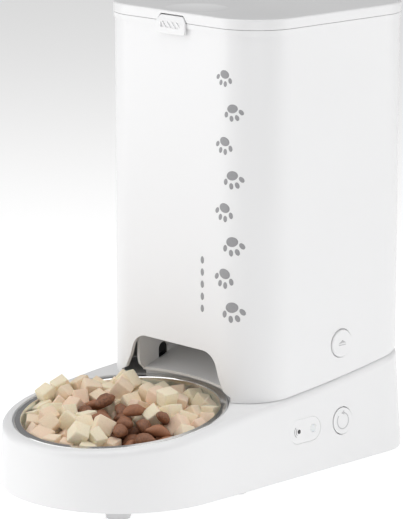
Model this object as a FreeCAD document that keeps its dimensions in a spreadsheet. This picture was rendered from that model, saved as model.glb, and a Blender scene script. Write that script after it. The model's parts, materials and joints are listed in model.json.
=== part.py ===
"""Automatic pet feeder: a hopper tower on a base with a steel bowl, as separate pieces."""
import FreeCAD, Part
import math
import os
import Sketcher
from FreeCAD import Placement, Rotation, Vector

os.makedirs("parts", exist_ok=True)
doc = FreeCAD.newDocument("pet_feeder")
sheet = doc.addObject("Spreadsheet::Sheet", "Sizes")

# Driving dimensions, in millimetres and degrees. X is left to right seen from the bowl end,
# Y runs from the bowl end to the back, Z is up from the ground.
SIZES = {
    # overall form
    "length": 297,
    "base_width": 170,
    "base_rise": 6,
    "base_rear_inset": 1.3,
    "base_corner": 33,
    "shoulder_width": 157.8,
    "shoulder_height": 95,
    "shoulder_rear_inset": 2.8,
    "wall": 2.6,
    "gap": 0.4,
    # deck and seam
    "deck_height": 54.2,
    "deck_tilt": 6.2,
    "deck_edge_round": 5,
    "seam_rear_height": 79.2,
    "seam_radius": 1380,
    "seam_gap": 0.3,
    # bowl seat and bowl
    "seat_setback": 1.5,
    "seat_radius": 74.6,
    "seat_step": 3.2,
    "well_radius": 71.4,
    "well_depth": 31.5,
    "bowl_gap": 1.0,
    "bowl_sheet": 0.9,
    "bowl_rim_width": 3.9,
    "bowl_rim_height": 2.6,
    "bowl_depth": 29,
    "bowl_floor_radius": 50,
    "bowl_corner": 14,
    # bottom cover, feet and battery bay
    "cover_thickness": 2.4,
    "foot_radius": 9.4,
    "foot_taper": 1.2,
    "foot_ring": 71.5,
    "foot_side": 64,
    "foot_middle_y": -18,
    "foot_rear_y": 122,
    "cell_radius": 16.6,
    "cell_length": 61.5,
    "tray_wall": 1.6,
    "tray_x": 40,
    "door_grip_half": 9,
    "door_grip_radius": 5,
    "door_grip_setback": 11,
    "tray_y": 72,
    "screw_radius": 2.9,
    "screw_length": 9,
    "screw_head_height": 1,
    "shank_radius": 1.45,
    "socket_radius": 1.1,
    "boss_radius": 4.2,
    "pilot_radius": 1.5,
    "screw_side": 30,
    "screw_front_gap": 13.15,
    "screw_rear_setback": 66,
    # tower casing
    "casing_width": 158,
    "casing_depth": 162,
    "casing_corner": 34,
    "casing_top": 316.7,
    "rim_overhang": 1.1,
    "rim_height": 3.3,
    "arch_foot_half": 54.6,
    "arch_foot_height": 63.6,
    "arch_ankle_half": 49,
    "arch_ankle_height": 66.5,
    "arch_knee_half": 43.8,
    "arch_knee_height": 76.5,
    "arch_top_half": 38.8,
    "arch_top": 92.4,
    "arch_round": 14,
    # chute
    "chute_half": 40,
    "chute_wall": 2.4,
    "chute_setback": 4.9,
    "collar_wall": 2.2,
    "collar_reach": 3,
    "chute_back_y": 62,
    "chute_top": 95,
    "lip_height": 66,
    "lip_radius": 200,
    "lip_thickness": 1.8,
    "ramp_slope": 18.8,
    "ramp_knee_y": 36,
    "ramp_back_slope": 19,
    "eye_width": 9,
    "eye_height": 9.2,
    "eye_y": 13.4,
    # food bin
    "bin_gap": 6.5,
    "bin_wall": 2,
    "bin_top": 314,
    "bin_flange": 2.5,
    "funnel_top": 192,
    "funnel_bottom": 154,
    "floor_plate_z": 96.2,
    "floor_plate_thickness": 2.4,
    # metering drum and gears
    "rotor_y": 78,
    "rotor_radius": 30,
    "rotor_half_length": 28.5,
    "rotor_clearance": 1.0,
    "drum_wall": 2.2,
    "hub_radius": 8,
    "vane_thickness": 2.2,
    "vane_count": 6,
    "shaft_radius": 3,
    "shaft_fit": 0.05,
    "gear_module": 1.6,
    "pinion_teeth": 16,
    "wheel_teeth": 28,
    "pressure_angle": 20,
    "mesh_gap": 0.45,
    "tooth_thinning": 0.4,
    "gear_width": 7,
    "gear_inner_x": 37,
    "pinion_z": 84,
    "gearbox_height": 58,
    "gearbox_width": 14,
    "gear_cover_wall": 1.2,
    "gear_side_gap": 1.6,
    "vane_sleeve": 2.2,
    "gearbox_depth": 27,
    "motor_radius": 12,
    "motor_length": 31,
    # release buttons, feed button and indicator
    "button_radius": 9.7,
    "button_gap": 0.6,
    "button_y": 70.6,
    "release_z": 91.7,
    "release_proud": 1.2,
    "button_collar": 2.2,
    "button_flange": 1.5,
    "button_bevel": 0.6,
    "post_inset": 19,
    "post_thickness": 4,
    "post_half": 5,
    "post_drop": 8.7,
    "nose_height": 2.8,
    "nose_reach": 1.6,
    "hook_clearance": 1.2,
    "hook_wall": 1.6,
    "hook_half": 4,
    "hook_drop": 16,
    "hook_height": 3,
    "hook_reach": 0.7,
    "arm_drop": 5,
    "arm_height": 2.5,
    "release_depth": 6,
    "feed_radius": 9.3,
    "feed_y": 68.6,
    "feed_z": 37.1,
    "feed_proud": 0.5,
    "feed_depth": 5,
    "pill_length": 30.6,
    "pill_height": 17,
    "pill_y": 31.4,
    "pill_z": 37.4,
    "pill_depth": 2.2,
    "pill_gap": 0.15,
    "lamp_radius": 2.35,
    "lamp_offset": 8.2,
    # lid, latch and hinge
    "lid_seam": 0.3,
    "lid_thickness": 7,
    "lid_round": 1.2,
    "lid_skin": 2.4,
    "lid_web": 3.8,
    "pocket_side": 11,
    "pocket_end": 13,
    "lid_line_inset": 2.0,
    "lid_line_width": 0.4,
    "lid_line_depth": 0.4,
    "lid_corner": 35.1,
    "lid_relief": 2.5,
    "hinge_inset": 2.5,
    "hinge_rise": 4.3,
    "hinge_pin_radius": 1.2,
    "knuckle_radius": 2.4,
    "hinge_half": 30,
    "ear_width": 6,
    "latch_half": 14.2,
    "latch_side_gap": 0.5,
    "latch_top_gap": 0.9,
    "latch_depth": 3.6,
    "latch_back_gap": 2.4,
    "latch_top_half": 10.8,
    "latch_drop": 8.2,
    "latch_rise": 4.2,
    "latch_corner": 2.4,
    "grip_half": 9.4,
    "grip_drop": 4.0,
    "grip_rib": 1.5,
    "grip_rib_count": 4,
    "latch_proud": 1.9,
    "latch_lip_gap": 0.25,
    "latch_pin_setback": 2,
    "latch_pin_rise": 2.1,
    "latch_pin_grip": 3,
    "grip_depth": 0.9,
    "latch_pin_radius": 1.0,
    "dish_radius": 11,
    "dish_depth": 1.8,
    "dish_setback": 22,
    "liner_gap": 2,
    "liner_depth": 10,
    "liner_wall": 2,
    "seal_gap": 0.5,
    "seal_height": 2.6,
    "case_half": 27,
    "case_depth": 13,
    "case_wall": 1.6,
    "cap_thickness": 2.4,
    "cap_grip_wall": 4,
    "cap_grip_height": 4,
    "vent_count": 12,
    "vent_radius": 1.8,
    # board and power inlet
    "board_thickness": 1.6,
    "board_front": 17.2,
    "board_rear": 15,
    "board_below": 10,
    "board_above": 12,
    "chip_side": 7,
    "chip_height": 1.2,
    "switch_half": 3,
    "switch_height": 0.5,
    "jack_x": -52,
    "jack_z": 22,
    "jack_radius": 5.2,
    "jack_bore": 3.0,
    "jack_depth": 13,
}


class Dim:
    """A size with the sheet formula that it comes from."""

    def __init__(self, value, text):
        self.value = float(value)
        self.text = text

    def __add__(self, other):
        other = dim(other)
        return Dim(self.value + other.value, f"({self.text} + {other.text})")

    def __sub__(self, other):
        other = dim(other)
        return Dim(self.value - other.value, f"({self.text} - {other.text})")

    def __mul__(self, other):
        other = dim(other)
        return Dim(self.value * other.value, f"{self.text} * {other.text}")

    def __truediv__(self, other):
        other = dim(other)
        return Dim(self.value / other.value, f"{self.text} / {other.text}")

    def __neg__(self):
        return Dim(-self.value, f"(0 - {self.text})")

    __radd__ = __add__
    __rmul__ = __mul__

    def __rsub__(self, other):
        return dim(other) - self

    def __rtruediv__(self, other):
        return dim(other) / self


def dim(value):
    """Turns a plain number into a Dim and leaves a Dim as it is."""
    if isinstance(value, Dim):
        return value
    if value < 0:
        return Dim(value, f"({value})")
    return Dim(value, f"{value}")


def tan(angle):
    return Dim(math.tan(math.radians(angle.value)), f"tan({angle.text})")


def sin(angle):
    return Dim(math.sin(math.radians(angle.value)), f"sin({angle.text})")


def cos(angle):
    return Dim(math.cos(math.radians(angle.value)), f"cos({angle.text})")


def root(square):
    return Dim(math.sqrt(square.value), f"sqrt({square.text})")


def fill_sheet():
    """Writes the sizes into the sheet and returns them by name."""
    named = {}
    for row, (alias, value) in enumerate(SIZES.items(), start=1):
        sheet.set(f"A{row}", alias)
        sheet.set(f"B{row}", str(value))
        sheet.setAlias(f"B{row}", alias)
        named[alias] = Dim(value, f"Sizes.{alias}")
    doc.recompute()
    return named


D = fill_sheet()
parts = {}


def part(node, obj):
    """Names an object as one of the feeder's pieces."""
    obj.Label = node
    parts[node] = obj
    return obj


def bind(obj, **sizes):
    for prop, size in sizes.items():
        obj.setExpression(prop, dim(size).text)


def place(obj, x=0, y=0, z=0, axis=None, angle=0):
    """Puts an object at x, y, z, turned by an angle about an axis."""
    if axis is not None:
        turn = Rotation(axis, dim(angle).value)
        obj.Placement = Placement(Vector(0, 0, 0), turn)
        if isinstance(angle, Dim):
            obj.setExpression("Placement.Rotation.Angle", angle.text)
    for name, size in (("x", x), ("y", y), ("z", z)):
        obj.setExpression(f"Placement.Base.{name}", dim(size).text)
    return obj


X_AXIS = Vector(1, 0, 0)
Y_AXIS = Vector(0, 1, 0)


def box(name, x0, x1, y0, y1, z0, z1):
    obj = doc.addObject("Part::Box", name)
    bind(obj, Length=dim(x1) - x0, Width=dim(y1) - y0, Height=dim(z1) - z0)
    return place(obj, x0, y0, z0)


def rod_z(name, radius, x, y, z0, z1):
    obj = doc.addObject("Part::Cylinder", name)
    bind(obj, Radius=radius, Height=dim(z1) - z0)
    return place(obj, x, y, z0)


def rod_x(name, radius, x0, x1, y, z):
    obj = doc.addObject("Part::Cylinder", name)
    bind(obj, Radius=radius, Height=dim(x1) - x0)
    return place(obj, x0, y, z, Y_AXIS, 90)


def rod_y(name, radius, y0, y1, x, z):
    obj = doc.addObject("Part::Cylinder", name)
    bind(obj, Radius=radius, Height=dim(y1) - y0)
    return place(obj, x, y0, z, X_AXIS, -90)


def cut(name, base, *tools):
    obj = doc.addObject("Part::Cut", name)
    obj.Base = base
    obj.Tool = tools[0] if len(tools) == 1 else fuse(name + "_tools", *tools)
    return obj


def fuse(name, *shapes):
    obj = doc.addObject("Part::MultiFuse", name)
    obj.Shapes = list(shapes)
    return obj


def common(name, *shapes):
    obj = doc.addObject("Part::MultiCommon", name)
    obj.Shapes = list(shapes)
    return obj


def group(name, *shapes):
    """Separate solids kept together as one piece list entry."""
    obj = doc.addObject("Part::Compound", name)
    obj.Links = list(shapes)
    return obj


def sketch_on(body, role, offset=0):
    """A sketch on one of a body's own origin planes, lifted off it by an offset."""
    sketch = body.newObject("Sketcher::SketchObject", body.Name + "_sketch")
    plane = next(f for f in body.Origin.OriginFeatures if f.Role == role)
    sketch.AttachmentSupport = [(plane, "")]
    sketch.MapMode = "FlatFace"
    sketch.setExpression("AttachmentOffset.Base.z", dim(offset).text)
    return sketch


def limit(sketch, size, kind, *where):
    """Adds a driving dimension to a sketch and binds it to the sheet."""
    index = sketch.addConstraint(Sketcher.Constraint(kind, *where, size.value))
    sketch.setExpression(f"Constraints[{index}]", size.text)


def polygon(sketch, points):
    corners = [(dim(x), dim(y)) for x, y in points]
    vectors = [Vector(x.value, y.value, 0) for x, y in corners]
    count = len(vectors)
    for i in range(count):
        sketch.addGeometry(Part.LineSegment(vectors[i], vectors[(i + 1) % count]), False)
    for i in range(count):
        sketch.addConstraint(Sketcher.Constraint("Coincident", i, 2, (i + 1) % count, 1))
    for i, (x, y) in enumerate(corners):
        limit(sketch, x, "DistanceX", -1, 1, i, 1)
        limit(sketch, y, "DistanceY", -1, 1, i, 1)


def rounded_rectangle(sketch, half_x, half_y, corner, centre_y=0):
    half_x, half_y, corner, centre_y = dim(half_x), dim(half_y), dim(corner), dim(centre_y)
    hx, hy, r, cy = half_x.value, half_y.value, corner.value, centre_y.value
    line = Part.LineSegment
    up = Vector(0, 0, 1)
    sketch.addGeometry([
        line(Vector(r - hx, cy - hy, 0), Vector(hx - r, cy - hy, 0)),
        line(Vector(hx, cy - hy + r, 0), Vector(hx, cy + hy - r, 0)),
        line(Vector(hx - r, cy + hy, 0), Vector(r - hx, cy + hy, 0)),
        line(Vector(-hx, cy + hy - r, 0), Vector(-hx, cy - hy + r, 0)),
    ], False)
    quarter = math.pi / 2
    for i, (x, y) in enumerate(((hx - r, cy - hy + r), (hx - r, cy + hy - r),
                                (r - hx, cy + hy - r), (r - hx, cy - hy + r))):
        circle = Part.Circle(Vector(x, y, 0), up, r)
        sketch.addGeometry(Part.ArcOfCircle(circle, (i - 1) * quarter, i * quarter), False)
    for side in range(4):
        sketch.addConstraint(Sketcher.Constraint("Tangent", side, 2, side + 4, 1))
        sketch.addConstraint(Sketcher.Constraint("Tangent", side + 4, 2, (side + 1) % 4, 1))
    for side in (0, 2):
        sketch.addConstraint(Sketcher.Constraint("Horizontal", side))
    for side in (1, 3):
        sketch.addConstraint(Sketcher.Constraint("Vertical", side))
    for arc in (5, 6, 7):
        sketch.addConstraint(Sketcher.Constraint("Equal", 4, arc))
    limit(sketch, corner, "Radius", 4)
    limit(sketch, half_x, "DistanceX", -1, 1, 1, 1)
    limit(sketch, -half_x, "DistanceX", -1, 1, 3, 1)
    limit(sketch, centre_y - half_y, "DistanceY", -1, 1, 0, 1)
    limit(sketch, centre_y + half_y, "DistanceY", -1, 1, 2, 1)


def stadium(sketch, half_x, arc_y, back_y, corner):
    """A round front of radius half_x about arc_y, straight sides and a back with round corners."""
    w, ay, by, r = half_x.value, arc_y.value, back_y.value, corner.value
    up = Vector(0, 0, 1)
    line = Part.LineSegment
    front = Part.Circle(Vector(0, ay, 0), up, w)
    right = Part.Circle(Vector(w - r, by - r, 0), up, r)
    left = Part.Circle(Vector(r - w, by - r, 0), up, r)
    sketch.addGeometry([
        Part.ArcOfCircle(front, math.pi, 2 * math.pi),
        line(Vector(w, ay, 0), Vector(w, by - r, 0)),
        Part.ArcOfCircle(right, 0, math.pi / 2),
        line(Vector(w - r, by, 0), Vector(r - w, by, 0)),
        Part.ArcOfCircle(left, math.pi / 2, math.pi),
        line(Vector(-w, by - r, 0), Vector(-w, ay, 0)),
    ], False)
    for i in range(6):
        sketch.addConstraint(Sketcher.Constraint("Tangent", i, 2, (i + 1) % 6, 1))
    sketch.addConstraint(Sketcher.Constraint("Vertical", 1))
    sketch.addConstraint(Sketcher.Constraint("Vertical", 5))
    sketch.addConstraint(Sketcher.Constraint("Horizontal", 3))
    sketch.addConstraint(Sketcher.Constraint("Equal", 2, 4))
    sketch.addConstraint(Sketcher.Constraint("PointOnObject", 0, 3, -2))
    limit(sketch, half_x, "Radius", 0)
    limit(sketch, corner, "Radius", 2)
    limit(sketch, arc_y, "DistanceY", -1, 1, 0, 3)
    limit(sketch, back_y, "DistanceY", -1, 1, 3, 1)


def new_body(name):
    return doc.addObject("PartDesign::Body", name)


def pad(body, sketch, length):
    feature = body.newObject("PartDesign::Pad", body.Name + "_pad")
    feature.Profile = sketch
    bind(feature, Length=length)
    return feature


def rounded_prism(name, half_x, half_y, corner, z0, z1, centre_y=0):
    body = new_body(name)
    sketch = sketch_on(body, "XY_Plane", z0)
    rounded_rectangle(sketch, half_x, half_y, corner, centre_y)
    pad(body, sketch, dim(z1) - z0)
    return body


def side_prism(name, points, x0, x1):
    """A Y-Z outline carried along X."""
    body = new_body(name)
    sketch = sketch_on(body, "YZ_Plane", x0)
    polygon(sketch, points)
    pad(body, sketch, dim(x1) - x0)
    return body


def front_prism(name, points, y0, y1):
    """An X-Z outline carried along Y."""
    body = new_body(name)
    sketch = sketch_on(body, "XZ_Plane", -dim(y1))
    polygon(sketch, points)
    pad(body, sketch, dim(y1) - y0)
    return body


def turned(name, points):
    """A radius-height outline turned about the body's own Z axis."""
    body = new_body(name)
    sketch = sketch_on(body, "XZ_Plane")
    polygon(sketch, points)
    feature = body.newObject("PartDesign::Revolution", name + "_turn")
    feature.Profile = sketch
    feature.ReferenceAxis = (sketch, ["V_Axis"])
    feature.Angle = 360
    return body


def round_edges(body, radius, wanted):
    """Rounds the edges of a body's last feature whose midpoint passes a test."""
    doc.recompute()
    base = body.Tip
    names = []
    for index, edge in enumerate(base.Shape.Edges, start=1):
        middle = edge.valueAt((edge.FirstParameter + edge.LastParameter) / 2)
        if wanted(edge, middle):
            names.append(f"Edge{index}")
    feature = body.newObject("PartDesign::Fillet", body.Name + "_fillet")
    feature.Base = (base, names)
    bind(feature, Radius=radius)
    return feature


# How far a cutting tool reaches past the piece that it cuts.
REACH_PAST = 12

# A level under the seam between tower and base, from which pieces are trimmed to the seam.
below_seam = D["deck_height"] - 4.2

# Places that several pieces share.
front_y = -D["length"] / 2
back_y = D["length"] / 2
tower_y = back_y - D["rim_overhang"] - D["casing_depth"] / 2
casing_front_y = tower_y - D["casing_depth"] / 2
bowl_end_y = front_y + D["base_width"] / 2
seat_y = bowl_end_y - D["seat_setback"]
cover_top = D["base_rise"] + D["cover_thickness"]
casing_half_x = D["casing_width"] / 2
casing_half_y = D["casing_depth"] / 2
seam_front_z = D["deck_height"] + (casing_front_y - seat_y) * tan(D["deck_tilt"])


def seam_circle():
    """Centre, in Y and Z, of the large circle that the seam between base and tower follows."""
    half_run = D["casing_depth"] / 2
    half_climb = (D["seam_rear_height"] - seam_front_z) / 2
    half_chord_squared = half_run * half_run + half_climb * half_climb
    height = root(D["seam_radius"] * D["seam_radius"] - half_chord_squared)
    chord = root(half_chord_squared)
    return (tower_y - height * (half_climb / chord),
            seam_front_z + half_climb + height * (half_run / chord))


seam_y, seam_z = seam_circle()


def above_seam(name, lowered):
    """Everything over the seam surface, with that surface lowered by a distance."""
    half = D["base_width"]
    return rod_x(name, D["seam_radius"] + lowered, -half, half, seam_y, seam_z)


def above_deck(name, lowered):
    """Everything over the tilted deck in front of the tower."""
    half = D["base_width"]
    reach = D["length"]
    obj = doc.addObject("Part::Box", name)
    bind(obj, Length=half * 2, Width=reach, Height=reach)
    slope = D["deck_tilt"]
    y0 = casing_front_y - reach * cos(slope) + lowered * sin(slope)
    z0 = seam_front_z - reach * sin(slope) - lowered * cos(slope)
    return place(obj, -half, y0, z0, X_AXIS, slope)


def on_deck(obj, height=0):
    """Stands an object on the bowl seat's tilted axis, at a height from the deck."""
    slope = D["deck_tilt"]
    y = seat_y - dim(height) * sin(slope)
    z = D["deck_height"] + dim(height) * cos(slope)
    return place(obj, 0, y, z, X_AXIS, slope)


def deck_rod(name, radius, low, high):
    """A cylinder about the bowl seat's axis, between two heights from the deck."""
    obj = doc.addObject("Part::Cylinder", name)
    bind(obj, Radius=radius, Height=dim(high) - low)
    return on_deck(obj, low)


def base_loft(name, inset):
    """The flared base envelope, drawn in by an inset on every side."""
    body = new_body(name)
    low = sketch_on(body, "XY_Plane", D["base_rise"])
    stadium(low, D["base_width"] / 2 - inset, bowl_end_y,
            back_y - D["base_rear_inset"] - inset, D["base_corner"] - inset)
    high = sketch_on(body, "XY_Plane", D["shoulder_height"])
    stadium(high, D["shoulder_width"] / 2 - inset, bowl_end_y,
            back_y - D["shoulder_rear_inset"] - inset, D["base_corner"] - inset)
    loft = body.newObject("PartDesign::AdditiveLoft", name + "_loft")
    loft.Profile = low
    loft.Sections = [high]
    loft.Ruled = True
    return body


def side_x(z):
    """Half-width of the flared base wall at a height."""
    flare = (D["base_width"] - D["shoulder_width"]) / 2
    share = (dim(z) - D["base_rise"]) / (D["shoulder_height"] - D["base_rise"])
    return D["base_width"] / 2 - flare * share


def pill_prism(name, half_length, half_height, x0, x1):
    """A round-ended bar along Y, carried along X through the base wall."""
    straight = half_length - half_height
    y, z = D["pill_y"], D["pill_z"]
    return fuse(name,
                box(name + "_bar", x0, x1, y - straight, y + straight, z - half_height, z + half_height),
                rod_x(name + "_front", half_height, x0, x1, y - straight, z),
                rod_x(name + "_back", half_height, x0, x1, y + straight, z))


drum_radius = D["rotor_radius"] + D["rotor_clearance"] + D["drum_wall"]
pinion_radius = D["gear_module"] * D["pinion_teeth"] / 2
wheel_radius = D["gear_module"] * D["wheel_teeth"] / 2
rotor_z = D["pinion_z"] + pinion_radius + wheel_radius + D["mesh_gap"]
gearbox_x = D["gear_inner_x"] + D["gear_width"] + 2
gearbox_top = D["floor_plate_z"] - 1


def gear(name, teeth, phase):
    """An involute spur gear about its own Z axis, bored for the shaft."""
    module = D["gear_module"].value
    pressure = math.radians(D["pressure_angle"].value)
    pitch = module * teeth / 2
    base = pitch * math.cos(pressure)
    tip = pitch + 0.9 * module
    root_radius = pitch - 1.25 * module
    half_tooth = (math.pi * module / 2 - D["tooth_thinning"].value) / (2 * pitch)
    flank_start = max(base, root_radius)

    def half_angle(radius):
        slope = math.acos(min(1, base / radius))
        return half_tooth + (math.tan(pressure) - pressure) - (math.tan(slope) - slope)

    def at(radius, angle):
        return Vector(radius * math.cos(angle), radius * math.sin(angle), 0)

    steps = 4
    flank = [flank_start + (tip - flank_start) * i / steps for i in range(steps + 1)]
    edges = []
    last = None
    first = None
    for tooth in range(teeth):
        middle = 2 * math.pi * (tooth + phase) / teeth
        rise = [at(root_radius, middle - half_angle(flank_start))]
        rise += [at(radius, middle - half_angle(radius)) for radius in flank]
        fall = [at(radius, middle + half_angle(radius)) for radius in reversed(flank)]
        fall.append(at(root_radius, middle + half_angle(flank_start)))
        outline = rise + fall
        if last is not None:
            edges.append(Part.makeLine(last, outline[0]))
        else:
            first = outline[0]
        edges += [Part.makeLine(a, b) for a, b in zip(outline[:-1], outline[1:])]
        last = outline[-1]
    edges.append(Part.makeLine(last, first))
    width = D["gear_width"].value
    solid = Part.Face(Part.Wire(edges)).extrude(Vector(0, 0, width))
    bore = Part.makeCylinder(D["shaft_radius"].value + D["shaft_fit"].value, width)
    obj = doc.addObject("Part::Feature", name)
    obj.Shape = solid.cut(bore)
    return obj


# ---- Base ----

def base_envelope(name, inset):
    """The base's outside, or the same shape drawn in by an inset."""
    return cut(name, base_loft(name + "_loft", inset),
               above_deck(name + "_deck", inset), above_seam(name + "_seam", inset))


def deck_rounding(envelope):
    """Rounds the outer edge of the deck in front of the tower."""
    doc.recompute()
    slope = math.tan(math.radians(D["deck_tilt"].value))
    rounded = doc.addObject("Part::Fillet", "base_rounded")
    rounded.Base = envelope
    radius = D["deck_edge_round"].value
    picked = []
    for index, edge in enumerate(envelope.Shape.Edges, start=1):
        points = [edge.valueAt(edge.FirstParameter + share * (edge.LastParameter - edge.FirstParameter))
                  for share in (0.1, 0.5, 0.9)]
        off_deck = [abs(p.z - D["deck_height"].value - (p.y - seat_y.value) * slope) for p in points]
        in_front = all(p.y < casing_front_y.value - 0.5 for p in points)
        if in_front and max(off_deck) < 0.05:
            picked.append((index, radius, radius))
    rounded.Edges = picked
    return rounded


def base_shell():
    outside = deck_rounding(base_envelope("base_outside", dim(0)))
    inside = base_envelope("base_inside", D["wall"])
    well_radius = D["seat_radius"] + D["wall"]
    well_floor = -D["well_depth"]
    well = common("seat_wall", deck_rod("seat_wall_rod", well_radius, well_floor - D["wall"], 40), outside)
    bosses = [rod_z(f"boss_{i}", D["boss_radius"], x, y, cover_top, D["shoulder_height"])
              for i, (x, y) in enumerate(screw_places)]
    boss_set = common("bosses", fuse("boss_rods", *bosses), base_envelope("boss_limit", D["wall"] / 2))
    pilots = [rod_z(f"pilot_{i}", D["pilot_radius"], x, y, 0, cover_top + D["screw_length"])
              for i, (x, y) in enumerate(screw_places)]
    body = fuse("base_body", cut("base_hollow", outside, inside), well, boss_set)
    jack_back = back_y + 5
    slot_half = D["gearbox_depth"] / 2 + D["gap"]
    return cut("base_shell", body,
               deck_rod("seat_rim_cut", D["seat_radius"], -D["seat_step"], 60),
               deck_rod("seat_well_cut", D["well_radius"], well_floor, 1),
               rod_x("feed_hole", D["feed_radius"] + D["button_gap"], 70, D["base_width"],
                     D["feed_y"], D["feed_z"]),
               pill_prism("pill_hole", D["pill_length"] / 2, D["pill_height"] / 2, 70, D["base_width"]),
               rod_y("jack_hole", D["jack_radius"] + 0.1, back_y - 9, jack_back, D["jack_x"], D["jack_z"]),
               box("gearbox_slot", -(gearbox_x + D["gearbox_width"] + D["gap"]), -(D["gear_inner_x"] - 1),
                   D["rotor_y"] - slot_half, D["rotor_y"] + slot_half, below_seam, D["shoulder_height"]),
               *pilots)


tray_half_x = D["cell_radius"] * 2 + D["tray_wall"]
tray_half_y = D["cell_length"] / 2 + D["tray_wall"] + 0.5
screw_rows = (D["tray_y"] - tray_half_y - D["screw_front_gap"], tower_y + D["screw_rear_setback"])
screw_places = [(D["screw_side"] * side, y) for y in screw_rows for side in (-1, 1)]


def tray_box(name, spare, z0, z1):
    return box(name, D["tray_x"] - tray_half_x - spare, D["tray_x"] + tray_half_x + spare,
               D["tray_y"] - tray_half_y - spare, D["tray_y"] + tray_half_y + spare, z0, z1)


head_bottom = D["base_rise"] + 0.2
head_top = head_bottom + D["screw_head_height"]


def bottom_cover():
    body = new_body("cover_plate")
    sketch = sketch_on(body, "XY_Plane", D["base_rise"])
    inset = D["wall"] + D["gap"]
    stadium(sketch, D["base_width"] / 2 - inset - 0.3, bowl_end_y,
            back_y - D["base_rear_inset"] - inset - 0.3, D["base_corner"] - inset)
    pad(body, sketch, D["cover_thickness"])
    through = cover_top + REACH_PAST
    hole_radius = D["shank_radius"] + D["shaft_fit"]
    holes = [rod_z(f"cover_hole_{i}", hole_radius, x, y, 0, through) for i, (x, y) in enumerate(screw_places)]
    sinks = [rod_z(f"cover_sink_{i}", D["screw_radius"] + 0.1, x, y, 0, head_top)
             for i, (x, y) in enumerate(screw_places)]
    return cut("bottom_cover", body, tray_box("door_opening", D["gap"], 0, through), *holes, *sinks)


def cover_screws():
    screws = []
    for i, (x, y) in enumerate(screw_places):
        head = rod_z(f"screw_head_{i}", D["screw_radius"], x, y, head_bottom, head_top)
        tip = cover_top + D["screw_length"] - 1
        shank = rod_z(f"screw_shank_{i}", D["shank_radius"], x, y, head_top, tip)
        socket = rod_z(f"screw_socket_{i}", D["socket_radius"], x, y, 0, head_top - 0.4)
        screws.append(cut(f"screw_{i}", fuse(f"screw_body_{i}", head, shank), socket))
    return group("cover_screws", *screws)


def feet():
    reach = D["foot_ring"] * 0.7071
    places = [(reach, bowl_end_y - reach), (D["foot_side"], D["foot_middle_y"]),
              (D["foot_side"] - 6, D["foot_rear_y"])]
    solids = []
    for x, y in places:
        for side in (-1, 1):
            cone = doc.addObject("Part::Cone", "foot")
            bind(cone, Radius1=D["foot_radius"] - D["foot_taper"], Radius2=D["foot_radius"],
                 Height=D["base_rise"])
            solids.append(place(cone, x * side, y, 0))
    return group("feet", *solids)


def battery_tray():
    top = cover_top + D["cell_radius"] * 2 + D["tray_wall"]
    return cut("battery_tray", tray_box("tray_outside", 0, cover_top, top),
               tray_box("tray_inside", -D["tray_wall"], 0, top - D["tray_wall"]))


def battery_cells():
    y0 = D["tray_y"] - D["cell_length"] / 2
    z = cover_top + D["cell_radius"]
    radius = D["cell_radius"] - 0.3
    return group("battery_cells", *[
        rod_y(f"cell_{side}", radius, y0, y0 + D["cell_length"], D["tray_x"] + side * D["cell_radius"],
              z - 0.1)
        for side in (-1, 1)])


def battery_door():
    plate = tray_box("door_plate", 0, D["base_rise"], cover_top - 0.3)
    half = D["door_grip_half"]
    radius = D["door_grip_radius"]
    grip = rod_x("door_grip", radius, D["tray_x"] - half, D["tray_x"] + half,
                 D["tray_y"] + tray_half_y - D["door_grip_setback"], D["base_rise"] - radius + 0.8)
    return cut("battery_door", plate, grip)


chute_front_y = casing_front_y + D["chute_setback"]
lip_front_y = casing_front_y + 14.1
chute_outer = D["chute_half"] + D["chute_wall"]


def ramp_z(y):
    """Height of the chute's front slope at a place along Y."""
    return D["lip_height"] + (y - lip_front_y + 4) * tan(D["ramp_slope"])


def eye_slot(name, x0, x1, spare):
    """A round-topped slot that stands on the ramp."""
    y, half = D["eye_y"], D["eye_width"] / 2 - spare
    foot = ramp_z(y) - 2
    top = ramp_z(y) + D["eye_height"] - D["eye_width"] / 2
    return fuse(name, box(name + "_leg", x0, x1, y - half, y + half, foot + spare, top),
                rod_x(name + "_arch", half, x0, x1, y, top))


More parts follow.
